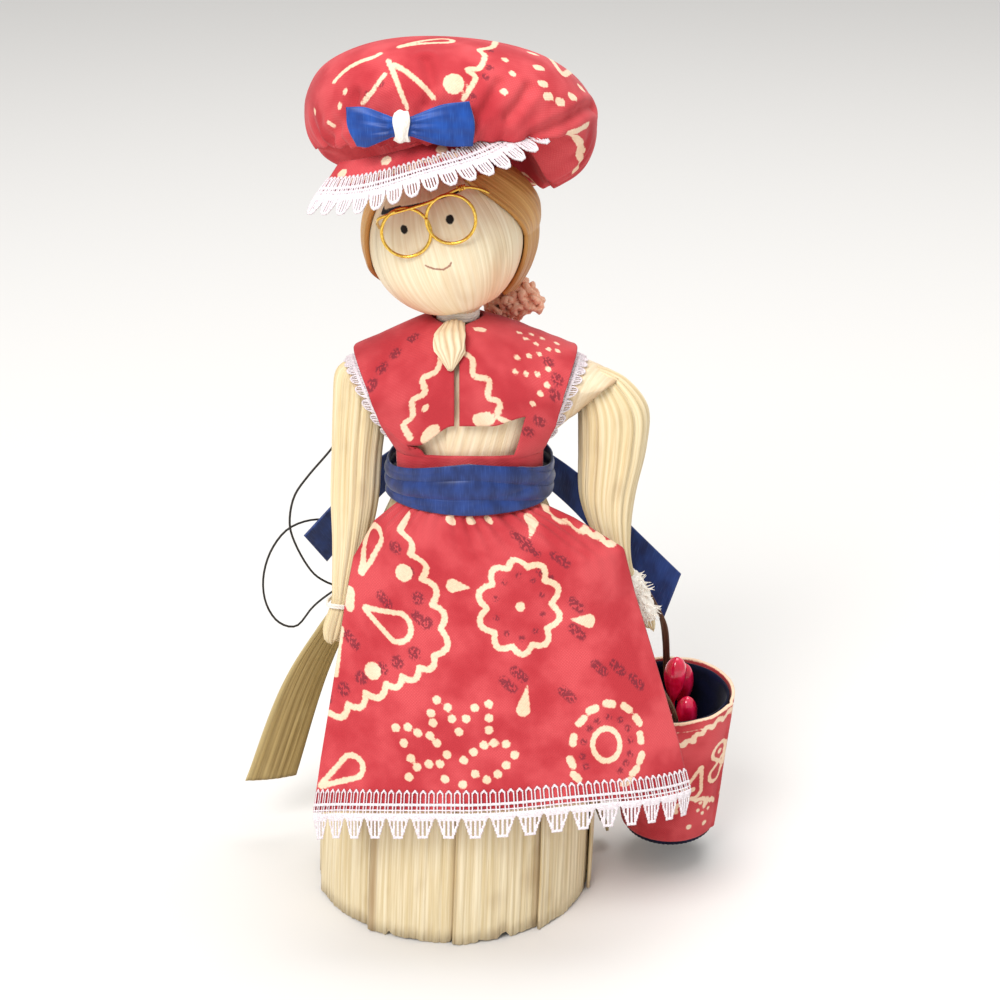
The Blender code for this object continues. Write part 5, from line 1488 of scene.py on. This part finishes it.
def make_apron():
    rows = 142
    cols = 170
    share = np.linspace(-1, 1, cols)[None, :]
    down = np.linspace(0, 1, rows)[:, None]
    height = (WAIST_HEIGHT + 0.4) * (1 - down) + (APRON_HEM_HEIGHT + hem_rise(share)) * down
    share = share + 0 * height
    points = apron_point(share, height, 0 * share)
    u = path_lengths(points, 1)
    u = u - u[:, [cols // 2]]
    v = path_lengths(points, 0)[:, [cols // 2]] + 0 * u
    cloth = Print(points, u, v)
    cloth.line(cloth.pixels(BORDER_START), THICK_LINE)
    cloth.scallops(cloth.pixels(BORDER), THICK_LINE, 0.38)
    cloth.scallops(cloth.pixels(UPPER_RIGHT_SCALLOPS), THICK_LINE, 0.42, -1.0)
    cloth.line(cloth.pixels(EDGE_STROKE), THICK_LINE)
    cloth.tapered(*cloth.pixels(EDGE_BLOB), 1.0, 0.8)
    for tip, body, radius in OUTLINED_DROPS:
        cloth.drop(cloth.flat(*tip), cloth.flat(*body), radius, LINE)
    for tip, body, radius in FILLED_DROPS:
        cloth.drop(cloth.flat(*tip), cloth.flat(*body), radius)
    for px, py, radius in APRON_DOTS:
        cloth.dot(cloth.flat(px, py), radius)
    cloth.dots(STAR_DOTS, 0.72)
    flower = cloth.flat(*FLOWER)
    cloth.flower(flower, 5.3, 6.7, FLOWER_LOBES, 0.48)
    oval = cloth.flat(*OVAL)
    cloth.ring(oval, 2.3, 2.7, LINE)
    for px, py in OVAL_DASHES:
        place = cloth.flat(px, py)
        way = unit(np.array((-(place[1] - oval[1]), place[0] - oval[0]))) * 0.6
        cloth.tapered(place - way, place + way, 0.62, 0.62)
        inward = place + (oval - place) * 0.32
        cloth.dot(inward, 0.6, dark=True)
    for px, py in HATCH_MARKS:
        place = cloth.flat(px, py)
        cloth.tapered(place - 0.7, place + 0.7, 0.8, 0.8, dark=True)
    for k in range(FLOWER_LOBES):
        a = TURN * (k + 0.5) / FLOWER_LOBES
        cloth.dot(flower + np.array((4.0 * math.cos(a), 5.2 * math.sin(a))), 0.5, dark=True)
    inside = cloth.pixels(BORDER)
    for place in inside[1:5]:
        cloth.dot(place - np.array((2.3, 0.9)), 1.1, dark=True)
    for place in inside[6:]:
        cloth.dot(place - np.array((0.6, 2.3)), 1.1, dark=True)
    piece = sheet("apron_cloth", points, PRINT, CLOTH_T, "apron", cloth.fields())
    cloth_area(points)


def apron_lace_at(share, depth, relief):
    top = APRON_HEM_HEIGHT + LACE_OVERLAP + hem_rise(share)
    wander = 0.22 * ripple(share * 20, 0 * share, 6, 4)
    height = top - APRON_LACE_HEIGHT * depth * (1 + 0.02 * wander) + 0.3 * wander * depth
    out = CLOTH_T / 2 + 0.25 + relief * 0.6 + 0.35 * ripple(share * 26, depth * 2, 9, 3) * depth
    return apron_point(share, height, out)


make_apron()
make_lace("apron_hem_lace", apron_lace_at, APRON_TEETH, -1.0, 1.0, "apron_lace", 24, 40)


# Sash and the bow behind

SASH_HALF_WIDTH = 13.85
SASH_HALF_DEPTH = 12.75
SASH_SIDE_DROP = 3.4
SASH_HEIGHT = 8.4
SASH_LOW = 75.4
RIBBON_T = 0.4


def make_sash():
    rows = 44
    cols = 230
    angle = once_round(cols)[None, :]
    share = np.linspace(0, 1, rows)[:, None]
    sideways = np.abs(np.cos(angle)) ** 1.5
    top = SASH_LOW + SASH_HEIGHT - SASH_SIDE_DROP * sideways + 0.3 * ripple(angle * 3, 0 * angle, 2, 3)
    low = SASH_LOW - 0.4 + 0.2 * ripple(angle * 4, 0 * angle, 8, 3)
    height = low + (top - low) * share
    slant = share * 2.6 + 0.9 * np.sin(angle + 0.5)
    crease = np.abs(np.sin(slant * 3.1 + 0.5 * np.sin(2 * angle)))
    second = np.abs(np.sin(share * 4.3 - 1.6 * np.cos(angle - 0.7) + 1.1))
    relief = 0.42 * crease ** 0.6 + 0.22 * second ** 0.7 - 0.3 + 0.1 * ripple(angle * 6, share * 5, 4)
    relief = relief + 0.12 * np.sin(math.pi * share)
    x = WAIST_SHIFT + (SASH_HALF_WIDTH + relief) * np.cos(angle)
    y = (SASH_HALF_DEPTH + relief) * np.sin(angle)
    points = np.stack((x, y, height), -1)
    flat = flat_field(share * 9.0 + 0 * angle, angle * 13.3 + 0 * share)
    sheet("sash_ribbon", points, SATIN, RIBBON_T, "sash", {"flat": flat}, wrap=True)


BOW_KNOT = (3.1, 15.1, 77.6)
RIGHT_TAIL = ((6.2, 15.4, 77.0), (13.0, 15.8, 74.5), (22.0, 14.6, 68.0), (31.0, 12.6, 58.5),
              (39.2, 11.0, 49.8))
LEFT_TAIL = ((0.2, 15.4, 77.4), (-6.0, 15.4, 76.0), (-13.0, 13.8, 71.5), (-19.5, 11.4, 64.8),
             (-24.5, 9.4, 59.6))
TAIL_WIDTHS = (4.5, 9.0)
RIGHT_TAIL_ACROSS = ((0.0, 0.0, 1.0), (0.31, 0.0, 0.95))
LEFT_TAIL_ACROSS = ((0.0, 0.0, 1.0), (-0.35, -0.55, 0.75))
KNOT_SECTIONS = ((-3.2, 1.2, 0.8), (-2.0, 2.2, 1.4), (0.0, 2.5, 1.7), (2.0, 2.2, 1.4), (3.2, 1.2, 0.8))


def make_tail(name, route, across, node, seed):
    points, u, v, normal = ribbon_grid(route, TAIL_WIDTHS, across, 110, 34)
    wave = 0.5 * ripple(u * 0.25, v * 0.14, seed, 3) + 0.25 * np.sin(u * 1.1 + 0.7) * smooth_step(24, 0, v)
    points = points + wave[..., None] * normal[:, None, :]
    sheet(name, points, SATIN, RIBBON_T, node, {"flat": flat_field(u, v)})


def make_back_knot():
    rows = 44
    cols = 72
    z, wide, deep = (smooth_route(KNOT_SECTIONS, rows)[:, k][:, None] for k in range(3))
    angle = once_round(cols)[None, :]
    pucker = 1 + 0.09 * np.sin(7 * angle + 0.7 * z) + 0.05 * ripple(angle * 3, z, 4)
    points = stacked(BOW_KNOT[0] + wide * pucker * np.cos(angle), BOW_KNOT[1] + deep * pucker * np.sin(angle),
                     BOW_KNOT[2] + z)
    flat = flat_field(z + 0 * angle, angle * 2.2 + 0 * z)
    capped("sash_knot_folds", points, SATIN, "sash_knot", {"flat": flat})


make_sash()
make_tail("bow_tail_right", RIGHT_TAIL, RIGHT_TAIL_ACROSS, "sash_tail_right", 5)
make_tail("bow_tail_left", LEFT_TAIL, LEFT_TAIL_ACROSS, "sash_tail_left", 9)
make_back_knot()


# Hat: puffed crown, visor brim with lace, bow

HAT_PLACE = np.array((HEAD_SHIFT + 1.1, 3.5, 136.9))
HAT_PITCH = math.radians(-18.0)
HAT_ROLL = math.radians(4.0)
HAT_HALVES = (23.4, 21.5, 12.4)
HAT_GATHERS = 22
BRIM_INNER = 15.6
BRIM_OUTER = 21.6
BRIM_INNER_RISE = 18.6
BRIM_OUTER_RISE = 14.9
BRIM_TURN = math.radians(6.0)
BRIM_HALF_ANGLE = math.radians(52.0)
BRIM_TEETH = 15
BRIM_LACE = 3.4


def head_place(radius, turn, rise):
    """A point round the head's own leaning axis; turn 0 is the front."""
    radius, turn, rise = (stacked(part) for part in np.broadcast_arrays(radius, turn, rise))
    level = radius * np.sin(turn) * HEAD_SIDE - radius * np.cos(turn) * HEAD_BACK
    return HEAD_CENTRE + level + rise * HEAD_UP


def over_brim(points):
    """Points of the crown lifted to rest over the brim where they'd be under it."""
    away = points - HEAD_CENTRE
    side = away @ HEAD_SIDE
    back = away @ HEAD_BACK
    rise = away @ HEAD_UP
    radius = np.hypot(side, back)
    turn = np.arctan2(side, -back)
    slope = (BRIM_OUTER_RISE - BRIM_INNER_RISE) / (BRIM_OUTER - BRIM_INNER)
    floor = BRIM_INNER_RISE + slope * (radius - BRIM_INNER) + 1.0
    near = smooth_step(BRIM_HALF_ANGLE + 0.35, BRIM_HALF_ANGLE + 0.08, np.abs(turn - BRIM_TURN))
    beside = smooth_step(2.2, 1.6, np.abs(turn - BRIM_TURN)) * smooth_step(19.5, 16.0, radius)
    lift = np.maximum(0.0, floor - rise) * np.maximum(near, beside) * smooth_step(4.0, 8.0, radius)
    return points + lift[..., None] * HEAD_UP


# The crown's creases and print, in the photo's pixels
CREASES = (((530, 88), (520, 104), (508, 118)), ((594, 108), (565, 122), (530, 138)),
           ((330, 150), (350, 120), (356, 96)), ((470, 128), (486, 108), (500, 84)),
           ((425, 60), (432, 85), (428, 104)))
HAT_ARC = ((334, 82), (346, 70), (360, 62), (372, 58), (380, 54))
HAT_LINES = (((388, 61), (398, 84), (407, 108)), ((385, 75), (373, 91), (363, 104)),
             ((395, 65), (414, 78), (434, 99)))
HAT_SCALLOPS = ((497, 37), (493, 47), (480, 50), (485, 56), (480, 68), (467, 70), (475, 78), (470, 90),
                (463, 99))
HAT_DASHES = ((526, 45), (533, 54), (539, 68), (543, 84), (548, 97), (560, 102), (572, 97), (581, 88))
HAT_LOOP = ((551, 54), (556, 66), (564, 75), (571, 70), (566, 60), (557, 52))
HAT_DOTS = ((340, 106), (331, 124), (315, 112), (322, 138), (345, 92), (505, 60), (512, 74), (503, 92))
HAT_RIGHT = ((583, 151), (562, 153), (568, 163), (577, 170))
HAT_CORNER = ((568, 138), (578, 131), (588, 125))
# Guessed motifs behind, in the crown's flat millimetres
HAT_BEHIND = ((0, 8), (9, 14), (-10, 16), (2, 22), (17, 20), (-19, 22), (10, 30), (-8, 31), (26, 14),
              (-27, 12), (20, 33), (-21, 34), (32, 24), (-33, 24), (0, 38))


def turned(a, b, angle):
    return a * math.cos(angle) - b * math.sin(angle), a * math.sin(angle) + b * math.cos(angle)


def make_crown():
    rows = 122
    cols = 244
    polar = np.radians(np.linspace(3, 172, rows))[:, None]
    turn = once_round(cols)[None, :]
    low = stacked(np.sin(polar) * np.cos(turn), np.sin(polar) * np.sin(turn), np.cos(polar))
    plump = (np.abs(low) ** 2.5).sum(-1) ** (-1 / 2.5)
    swell = 1.0 + 0.5 * (plump - 1.0)
    under = np.clip(-np.cos(polar), 0, 1) * np.sin(polar)
    gather = 0.5 * np.cos(HAT_GATHERS * turn) * under
    soft = 0.34 * ripple(3.0 * turn, 5 * polar, 17, 5) * np.sin(polar) ** 2
    underneath = smooth_step(math.radians(88), math.radians(125), polar)
    pucker = 0.35 * np.sin(2 * HAT_GATHERS * turn + 2 * np.sin(3 * turn)) * underneath
    local = low * swell[..., None] * np.array(HAT_HALVES)
    local = local + (gather + soft * 0.8 + pucker)[..., None] * low
    x, y, z = np.moveaxis(local, -1, 0)
    y, z = turned(y, z, HAT_PITCH)
    z, x = turned(z, x, HAT_ROLL)
    puffed = HAT_PLACE + np.stack((x, y, z), -1)
    points = over_brim(puffed)
    lifted_by = np.linalg.norm(points - puffed, axis=-1)
    reach = path_lengths(points, 0).mean(1, keepdims=True) + 1.0
    u = reach * np.cos(turn)
    v = reach * np.sin(turn)
    outward = unit(points - HAT_PLACE)
    facing = ((outward * unit(EYE - points)).sum(-1) > 0.05) & (lifted_by < 0.05)
    creases = Print(points, u, v, facing)
    for line in CREASES:
        creases.line(creases.pixels(line), 0.0)
    dent = hump(np.maximum(creases.light, 0), 0, 0.9) - 0.4 * hump(creases.light, 1.7, 0.9)
    points = points - (0.75 * dent)[..., None] * outward
    cloth = Print(points, u, v, facing)
    cloth.drop(cloth.flat(400, 47), cloth.flat(444, 41), 1.3, THIN_LINE)
    cloth.line(smooth_route(cloth.pixels(HAT_ARC), 20), LINE)
    for line in HAT_LINES:
        cloth.line(cloth.pixels(line), THIN_LINE)
    cloth.dot(cloth.flat(454, 84), 1.75)
    cloth.line(smooth_route(cloth.pixels(HAT_SCALLOPS), 60), LINE)
    cloth.line(smooth_route(cloth.pixels(HAT_LOOP), 30), THICK_LINE)
    for place in cloth.pixels(HAT_DASHES):
        cloth.tapered(place - 0.35, place + 0.35, 0.62, 0.62)
    cloth.dots(HAT_DOTS, 0.62)
    cloth.line(smooth_route(cloth.pixels(HAT_RIGHT), 20), THICK_LINE)
    cloth.line(cloth.pixels(HAT_CORNER), THICK_LINE)
    for place in cloth.pixels(HAT_SCALLOPS)[::2] + cloth.pixels(HAT_LINES[1]):
        cloth.dot(place + np.array((1.5, 0.5)), 0.7, dark=True)
    cloth.scatter(HAT_BEHIND, 11)
    piece = capped("hat_crown_cloth", points, PRINT, "hat_crown", cloth.fields())


def brim_at(share, turn, out):
    slope = math.atan2(BRIM_INNER_RISE - BRIM_OUTER_RISE, BRIM_OUTER - BRIM_INNER)
    radius = BRIM_INNER + (BRIM_OUTER - BRIM_INNER) * share
    rise = BRIM_INNER_RISE + (BRIM_OUTER_RISE - BRIM_INNER_RISE) * share
    wave = 0.25 * np.sin(7 * turn + 1.0) * np.clip(share, 0, 2)
    return head_place(radius + out * math.sin(slope), turn, rise + out * math.cos(slope) + wave)


BRIM_DOTS = ((-20, 1.6), (-12, 2.6), (-4, 1.4), (5, 2.4), (13, 1.5), (20, 2.6))


def make_brim():
    turn = BRIM_TURN + np.linspace(-1, 1, 150)[None, :] * BRIM_HALF_ANGLE
    share = np.linspace(0, 1, 28)[:, None]
    points = brim_at(share, turn, 0 * share)
    u = turn * 18.0 + 0 * share
    v = share * 7.0 + 0 * turn
    cloth = Print(points, u, v)
    for place in BRIM_DOTS:
        cloth.dot(place, 0.9)
    cloth.scallops([(place, 4.4 + 0.5 * (k % 2)) for k, place in enumerate(range(-21, 24, 3))], 0.4, 0.3)
    sheet("brim_cloth", points, PRINT, CLOTH_T, "hat_brim", cloth.fields())


def brim_lace_at(turn, depth, relief):
    tip = 1.0 + BRIM_LACE / (BRIM_OUTER - BRIM_INNER)
    out = CLOTH_T / 2 + 0.35 + 0.5 * relief + 0.15 * ripple(turn * 14, depth * 3, 7, 3)
    return brim_at(0.5 + (tip - 0.5) * depth, turn, out)


HAT_BOW = np.array((-5.3, -19.5, 140.3))
HAT_BOW_HALF = 9.7
BAND_SHIFT = -1.15
BAND_T = 0.35
HAT_BOW_TILT = math.radians(1.5)
# The bow's sections: share across, half height and half thickness
BOW_SECTIONS = ((-1.0, 3.0, 0.45), (-0.6, 3.0, 0.75), (-0.25, 1.9, 0.8), (-0.13, 1.5, 0.6), (0.13, 1.5, 0.6),
                (0.25, 1.9, 0.8), (0.6, 3.1, 0.75), (1.0, 3.4, 0.45))


def make_hat_bow():
    rows = 110
    cols = 56
    share, high, thick = (smooth_route(BOW_SECTIONS, rows)[:, k][:, None] for k in range(3))
    share = np.clip(share, -1.0, 1.0)
    angle = once_round(cols)[None, :]
    upward = np.sin(angle)
    near = hump(share, 0, 0.5)
    ridge = (0.22 * near + 0.05) * np.cos(11 * upward + 2 * share) * smooth_step(0.06, 0.25, np.abs(share))
    notch = 0.03 * np.cos(2.6 * upward) * smooth_step(0.8, 1.0, np.abs(share)) * np.sign(share)
    x = (share + notch) * HAT_BOW_HALF + BAND_SHIFT * (1 - share ** 2)
    left_cut = 1.5 * (0.5 - 0.5 * upward) * smooth_step(-0.4, -1.0, share)
    right_cut = 0.5 * (0.5 + 0.5 * upward) * smooth_step(0.4, 1.0, share)
    x = x + (left_cut + right_cut) * np.where(share < 0, 1.0, -1.0)
    y = 0.9 * share ** 2 + (thick + ridge) * np.cos(angle) + 0.1 * ripple(share * 5, angle, 3)
    z = high * upward + x * math.sin(HAT_BOW_TILT)
    points = HAT_BOW + stacked(x, y, z)
    flat = flat_field(z + 0 * x, x + 0 * z)
    capped("bow_ribbon", points, SATIN_BRIGHT, "hat_bow", {"flat": flat})
    across = np.linspace(-1, 1, 22)[:, None]
    around = once_round(96)[None, :]
    plump = 0.25 * (1 - across ** 2) + 0.1 * np.sin(5 * across + 2 * around)
    bx = across * 1.35 * (1 + 0.12 * np.sin(3 * around)) + 0 * around
    by = (1.05 + plump) * np.cos(around)
    bz = (2.0 + plump) * np.sin(around)
    bx = bx * 0.8 + BAND_SHIFT
    ring = HAT_BOW + stacked(bx, by, bz)
    flat = flat_field(bx, around * 2)
    sheet("bow_band", ring, STRING, BAND_T, "hat_bow_band", {"flat": flat}, wrap=True)


make_crown()
make_brim()
make_lace("brim_edge_lace", brim_lace_at, BRIM_TEETH, BRIM_TURN - BRIM_HALF_ANGLE,
          BRIM_TURN + BRIM_HALF_ANGLE, "brim_lace", 26, 34, True)
make_hat_bow()


# Spectacles

LENS_RADIUS = 3.85
LENS_LEFT = np.array((-6.4, -12.3, 122.3))
LENS_RIGHT = np.array((0.6, -12.9, 124.6))
LENS_SWEEP = TURN * 1.08
# Along the bar over both lenses: millimetres across and up from a lens's middle, and depth in the frame
BAR_LEFT = ((-4.6, 0.6, -6.0), (-4.0, 2.6, -10.2), (-2.4, 3.5, -12.2))
BAR_RIGHT = ((-3.2, 3.5, -12.7), (-0.1, 3.7, -12.2), (2.9, 3.7, -10.8), (4.8, 2.6, -8.9), (6.2, 1.0, -7.0),
             (6.6, -0.3, -6.0))


def make_spectacles():
    across = unit(LENS_RIGHT - LENS_LEFT)
    up = np.array((-across[2], 0.0, across[0]))
    parts = []
    for centre, start in ((LENS_LEFT, 2.2), (LENS_RIGHT, 3.3)):
        share = np.linspace(0, 1, 150)[:, None]
        a = start - LENS_SWEEP * share
        ring = centre + LENS_RADIUS * (np.cos(a) * across + np.sin(a) * up) + HEAD_BACK * 0.5 * (0.5 - share)
        parts.append(strand(ring, 0.27, 12, side_way=(0.0, 1.0, 0.0)))
    route = []
    for centre, places in ((LENS_LEFT, BAR_LEFT), (LENS_RIGHT, BAR_RIGHT)):
        for sideways, rise, depth in places:
            place = centre + sideways * across + rise * up
            route.append((place[0], depth, place[2]))
    parts.append(strand(smooth_route(route, 160), 0.24, 12, side_way=(0.0, 1.0, 0.1)))
    t = np.linspace(0, 1, 60)[:, None]
    a = TURN * 3.0 * t
    coil = np.array(route[5]) + across * (t - 0.5) * 1.2 + 0.36 * (np.cos(a) * up + np.sin(a) * HEAD_BACK)
    parts.append(strand(coil, 0.16, 8))
    joined("spectacle_wire", parts, WIRE, "spectacles")


make_spectacles()


# Wrist string, fluffy cuff, basket, handle and berries

wound_string("wrist_string", (-18.65, -7.45), (2.5, 2.55), 56.6, 57.4, 2, 0.24, "left_wrist_tie")

CUFF = ((60.2, 29.6, -2.75, 2.5, 2.6), (58.5, 30.4, -2.9, 2.6, 2.6), (56.0, 31.6, -3.05, 2.5, 2.5),
        (53.6, 32.7, -3.2, 2.3, 2.3), (52.2, 33.3, -3.25, 1.9, 1.9))
CUFF_TUFTS = 210


def make_cuff():
    rng = np.random.default_rng(8)
    sections = smooth_route(CUFF, 40)
    z, x, y, wide, deep = (sections[:, k][:, None] for k in range(5))
    angle = once_round(60)[None, :]
    puff = 1 + 0.1 * ripple(angle * 4, z * 1.3, 5) + 0.05 * np.sin(9 * angle + z * 3)
    base = stacked(x + wide * puff * np.cos(angle), y + deep * puff * np.sin(angle), z)
    parts = [(base, flat_field(angle * 2.4, z + 0 * angle).reshape(40, 60, 3))]
    for _ in range(CUFF_TUFTS):
        row = rng.integers(1, 39)
        a = rng.uniform(0, TURN)
        way = np.array((math.cos(a), math.sin(a), rng.uniform(-0.5, 0.5)))
        aside = 0.9 * wide[row, 0] * way[0]
        behind = 0.9 * deep[row, 0] * way[1]
        foot = np.array((x[row, 0] + aside, y[row, 0] + behind, z[row, 0]))
        sway = rng.uniform(-0.7, 0.7, 3)
        t = np.linspace(0, 1, 7)[:, None]
        route = foot + way * t * rng.uniform(0.7, 1.3) + sway * t * t
        parts.append(strand(route, np.linspace(0.16, 0.05, 7), 5, side_way=(0.3, 0.5, 0.8)))
    joined("cuff_fluff", parts, STRING, "right_cuff")


make_cuff()

BASKET_CENTRE = np.array((38.8, 3.6, 34.6))
BASKET_CLOTH_T = 0.55
LINING_T = 0.35
BASKET_RIM = 11.4
BASKET_FOOT = 8.6
BASKET_DEPTH = 27.0
BASKET_AXIS = unit(np.array((-0.02, -0.09, 1.0)))
BASKET_SIDE = unit(np.array((1.0, 0.0, 0.0)) - BASKET_AXIS * BASKET_AXIS[0])
BASKET_BACK = np.cross(BASKET_AXIS, BASKET_SIDE)


def basket_at(radius, turn, depth):
    """A point round the basket's own leaning axis, at a depth below its rim."""
    radius, turn, depth = (stacked(part) for part in np.broadcast_arrays(radius, turn, depth))
    return (BASKET_CENTRE - BASKET_AXIS * depth + BASKET_SIDE * radius * np.cos(turn)
            + BASKET_BACK * radius * np.sin(turn))


def basket_radius(depth):
    return BASKET_RIM + (BASKET_FOOT - BASKET_RIM) * depth / BASKET_DEPTH


BASKET_SCALLOPS = ((672, 752), (683, 745), (693, 741), (702, 733), (712, 727), (722, 719), (731, 713))
BASKET_LOW_SCALLOPS = ((676, 812), (684, 803), (695, 800), (703, 806), (712, 800))
BASKET_DOTS = ((668, 772), (672, 780), (677, 796), (703, 822), (688, 826), (717, 790))
# Guessed motifs behind, in the cloth's flat millimetres
BASKET_BEHIND = ((3, 8), (9, 17), (15, 7), (21, 15), (27, 8), (5, 22), (26, 21), (33, 16), (-6, 10), (-9, 20),
                 (36, 7), (14, 23))


def make_basket():
    cols = 190
    turn = np.linspace(-math.pi, math.pi, cols, endpoint=False)[None, :]
    depth = np.linspace(-0.1, BASKET_DEPTH, 74)[:, None]
    dent = 0.28 * ripple(turn * 2.2, depth * 0.16, 12, 4) * smooth_step(-1, 9, depth)
    seam = 0.35 * hump(turn, -0.45, 0.05)
    rim_wave = 0.22 * ripple(turn * 6, 0 * turn, 3, 4) * smooth_step(6.0, 0.0, depth)
    radius = basket_radius(depth) - 0.3 + dent + seam
    points = basket_at(radius, turn, depth + rim_wave)
    u = turn * 10.0 + 0 * depth
    v = depth + 0 * turn
    outward = points - (BASKET_CENTRE - BASKET_AXIS * depth[..., None])
    facing = (outward * (EYE - points)).sum(-1) > 0
    cloth = Print(points, u, v, facing)
    cloth.put(v - 0.1 + 0.1 * ripple(u * 1.3, v, 4))
    cloth.put(np.abs(v - 1.7) - 0.06)
    cloth.scallops(cloth.pixels(BASKET_SCALLOPS), THICK_LINE, 0.4)
    cloth.drop(cloth.flat(700, 768), cloth.flat(692, 790), 1.9, 0.4)
    cloth.dot(cloth.flat(692, 789), 0.55)
    cloth.drop(cloth.flat(722, 752), cloth.flat(714, 772), 1.7, 0.4)
    cloth.scallops(cloth.pixels(BASKET_LOW_SCALLOPS), THIN_LINE, 0.4)
    cloth.dots(BASKET_DOTS, 0.6)
    cloth.scatter(BASKET_BEHIND, 6)
    piece = sheet("basket_cloth", points, PRINT, BASKET_CLOTH_T, "basket_wrap",
                  cloth.fields(), wrap=True)
    inner_depth = np.concatenate((np.linspace(0.3, 25.0, 22), np.linspace(25.2, 25.4, 3), np.full(9, 25.4)))
    inner = np.concatenate((basket_radius(inner_depth[:25]) - 1.15, np.linspace(7.4, 0.2, 9)))
    wave = 0.12 * ripple(turn * 5, inner_depth[:, None] * 0.4, 15, 4)
    places = basket_at(inner[:, None] + wave * (inner[:, None] > 2), turn, inner_depth[:, None] + 0 * turn)
    flat = flat_field(turn * 9.5, inner_depth[:, None] + inner[:, None] * 0.8)
    piece = sheet("lining_cloth", places, LINING, LINING_T, "basket_lining", {"flat": flat},
                  wrap=True)
    low = np.linspace(BASKET_DEPTH + 0.1, BASKET_DEPTH + 1.05, 6)[:, None]
    under = basket_at(BASKET_FOOT - 0.25 - 0.25 * (low - BASKET_DEPTH) + 0.06 * np.sin(60 * turn), turn, low)
    field = {"flat": flat_field(turn * 8.5, low + 0 * turn)}
    capped("basket_foot_cloth", under, LINING, "basket_base", field)


HANDLE_ARCH = ((35.8, -6.9, 0.258), (31.8, -7.2, 0.54), (28.4, -6.0, 0.766), (27.2, -2.6, 0.919),
               (28.9, 1.3, 1.0), (31.8, 2.1, 0.952), (34.6, 3.9, 0.742), (37.4, 7.2, 0.46))
HANDLE_FOOT_TURN = math.radians(91.0)
HANDLE_TOP = 59.4


HANDLE_FLATNESS = 0.42


def make_handle():
    radius = basket_radius(4.0) - 2.0
    feet = [[basket_at(radius, way, depth) for depth in (4.0, -1.0)]
            for way in (-HANDLE_FOOT_TURN, HANDLE_FOOT_TURN)]
    rim = BASKET_CENTRE[2]
    arch = [(x, y, rim + (HANDLE_TOP - rim) * share) for x, y, share in HANDLE_ARCH]
    route = smooth_route(feet[0] + arch + feet[1][::-1], 240)
    along = np.linspace(0, 1, 240)
    width = 0.62 * (1 + 0.07 * np.sin(23 * along) + 0.04 * np.sin(61 * along + 1))
    points = tube_grid(route, width, 20, HANDLE_FLATNESS)
    field = {"flat": flat_field(once_round(20) * 0.6, along[:, None] * 80)}
    field["shade"] = 0.3 * (0.5 + 0.5 * np.sin(17 * along))[:, None] * np.ones((1, 20))
    capped("handle_strip", points, STRIP, "basket_handle", field)


# Berries: the stem's foot and the berry's head round the basket's axis, the head's rise, and the radius
BERRIES = (
    ((-1.2, 0.4), (1.0, 0.2), 6.6, 2.0),
    ((2.6, -2.6), (2.7, -3.4), 0.6, 1.9),
    ((1.6, 3.4), (2.8, 4.6), 2.6, 1.8),
    ((-5.0, -2.6), (-4.2, -3.6), 1.0, 1.9),
    ((-4.6, 3.6), (-5.0, 4.2), 2.2, 1.8),
    ((-0.6, -5.0), (-0.4, -6.2), -1.2, 1.8),
)
BERRY_LENGTH = 9.0
BERRY_PROFILE = ((1.0, 0.22), (0.86, 0.5), (0.7, 0.78), (0.45, 1.0), (0.22, 0.9), (0.07, 0.55), (0.0, 0.12))


def in_basket(rise, aside, back):
    return BASKET_CENTRE + BASKET_AXIS * rise + BASKET_SIDE * aside + BASKET_BACK * back


def make_berries():
    for number, (foot, head, rise, radius) in enumerate(BERRIES):
        bottom = in_basket(-25.0, foot[0] * 0.8, foot[1] * 0.8)
        top = in_basket(rise, *head)
        length = np.linalg.norm(top - bottom)
        stem = 1 - BERRY_LENGTH / length
        t = np.concatenate((np.linspace(0, stem * 0.98, 8), np.linspace(stem, 1.0, 44)))
        left = np.clip((1 - t) * length / BERRY_LENGTH, 0, 1)
        profile = smooth_route(BERRY_PROFILE[::-1], 60)
        wide = radius * np.interp(left, profile[:, 0], profile[:, 1])
        wide[:8] = 0.4
        route = bottom + (top - bottom) * t[:, None]
        points = tube_grid(route, wide, 36, side_way=(0.2, 1.0, 0.1))
        angle = once_round(36)[None, :]
        middle = route[:, None, :]
        lump = 1 + 0.05 * ripple(angle * 2, t[:, None] * 20, number + 2, 4)
        lump = lump + 0.035 * np.cos(5 * angle + number)
        points = middle + (points - middle) * lump[..., None]
        field = {"flat": flat_field(angle * radius, t[:, None] * length + 0 * angle)}
        name = "berry_drop_%d" % (number + 1)
        capped(name, points, BERRY, "berry_%d" % (number + 1), field)


make_basket()
make_handle()
make_berries()
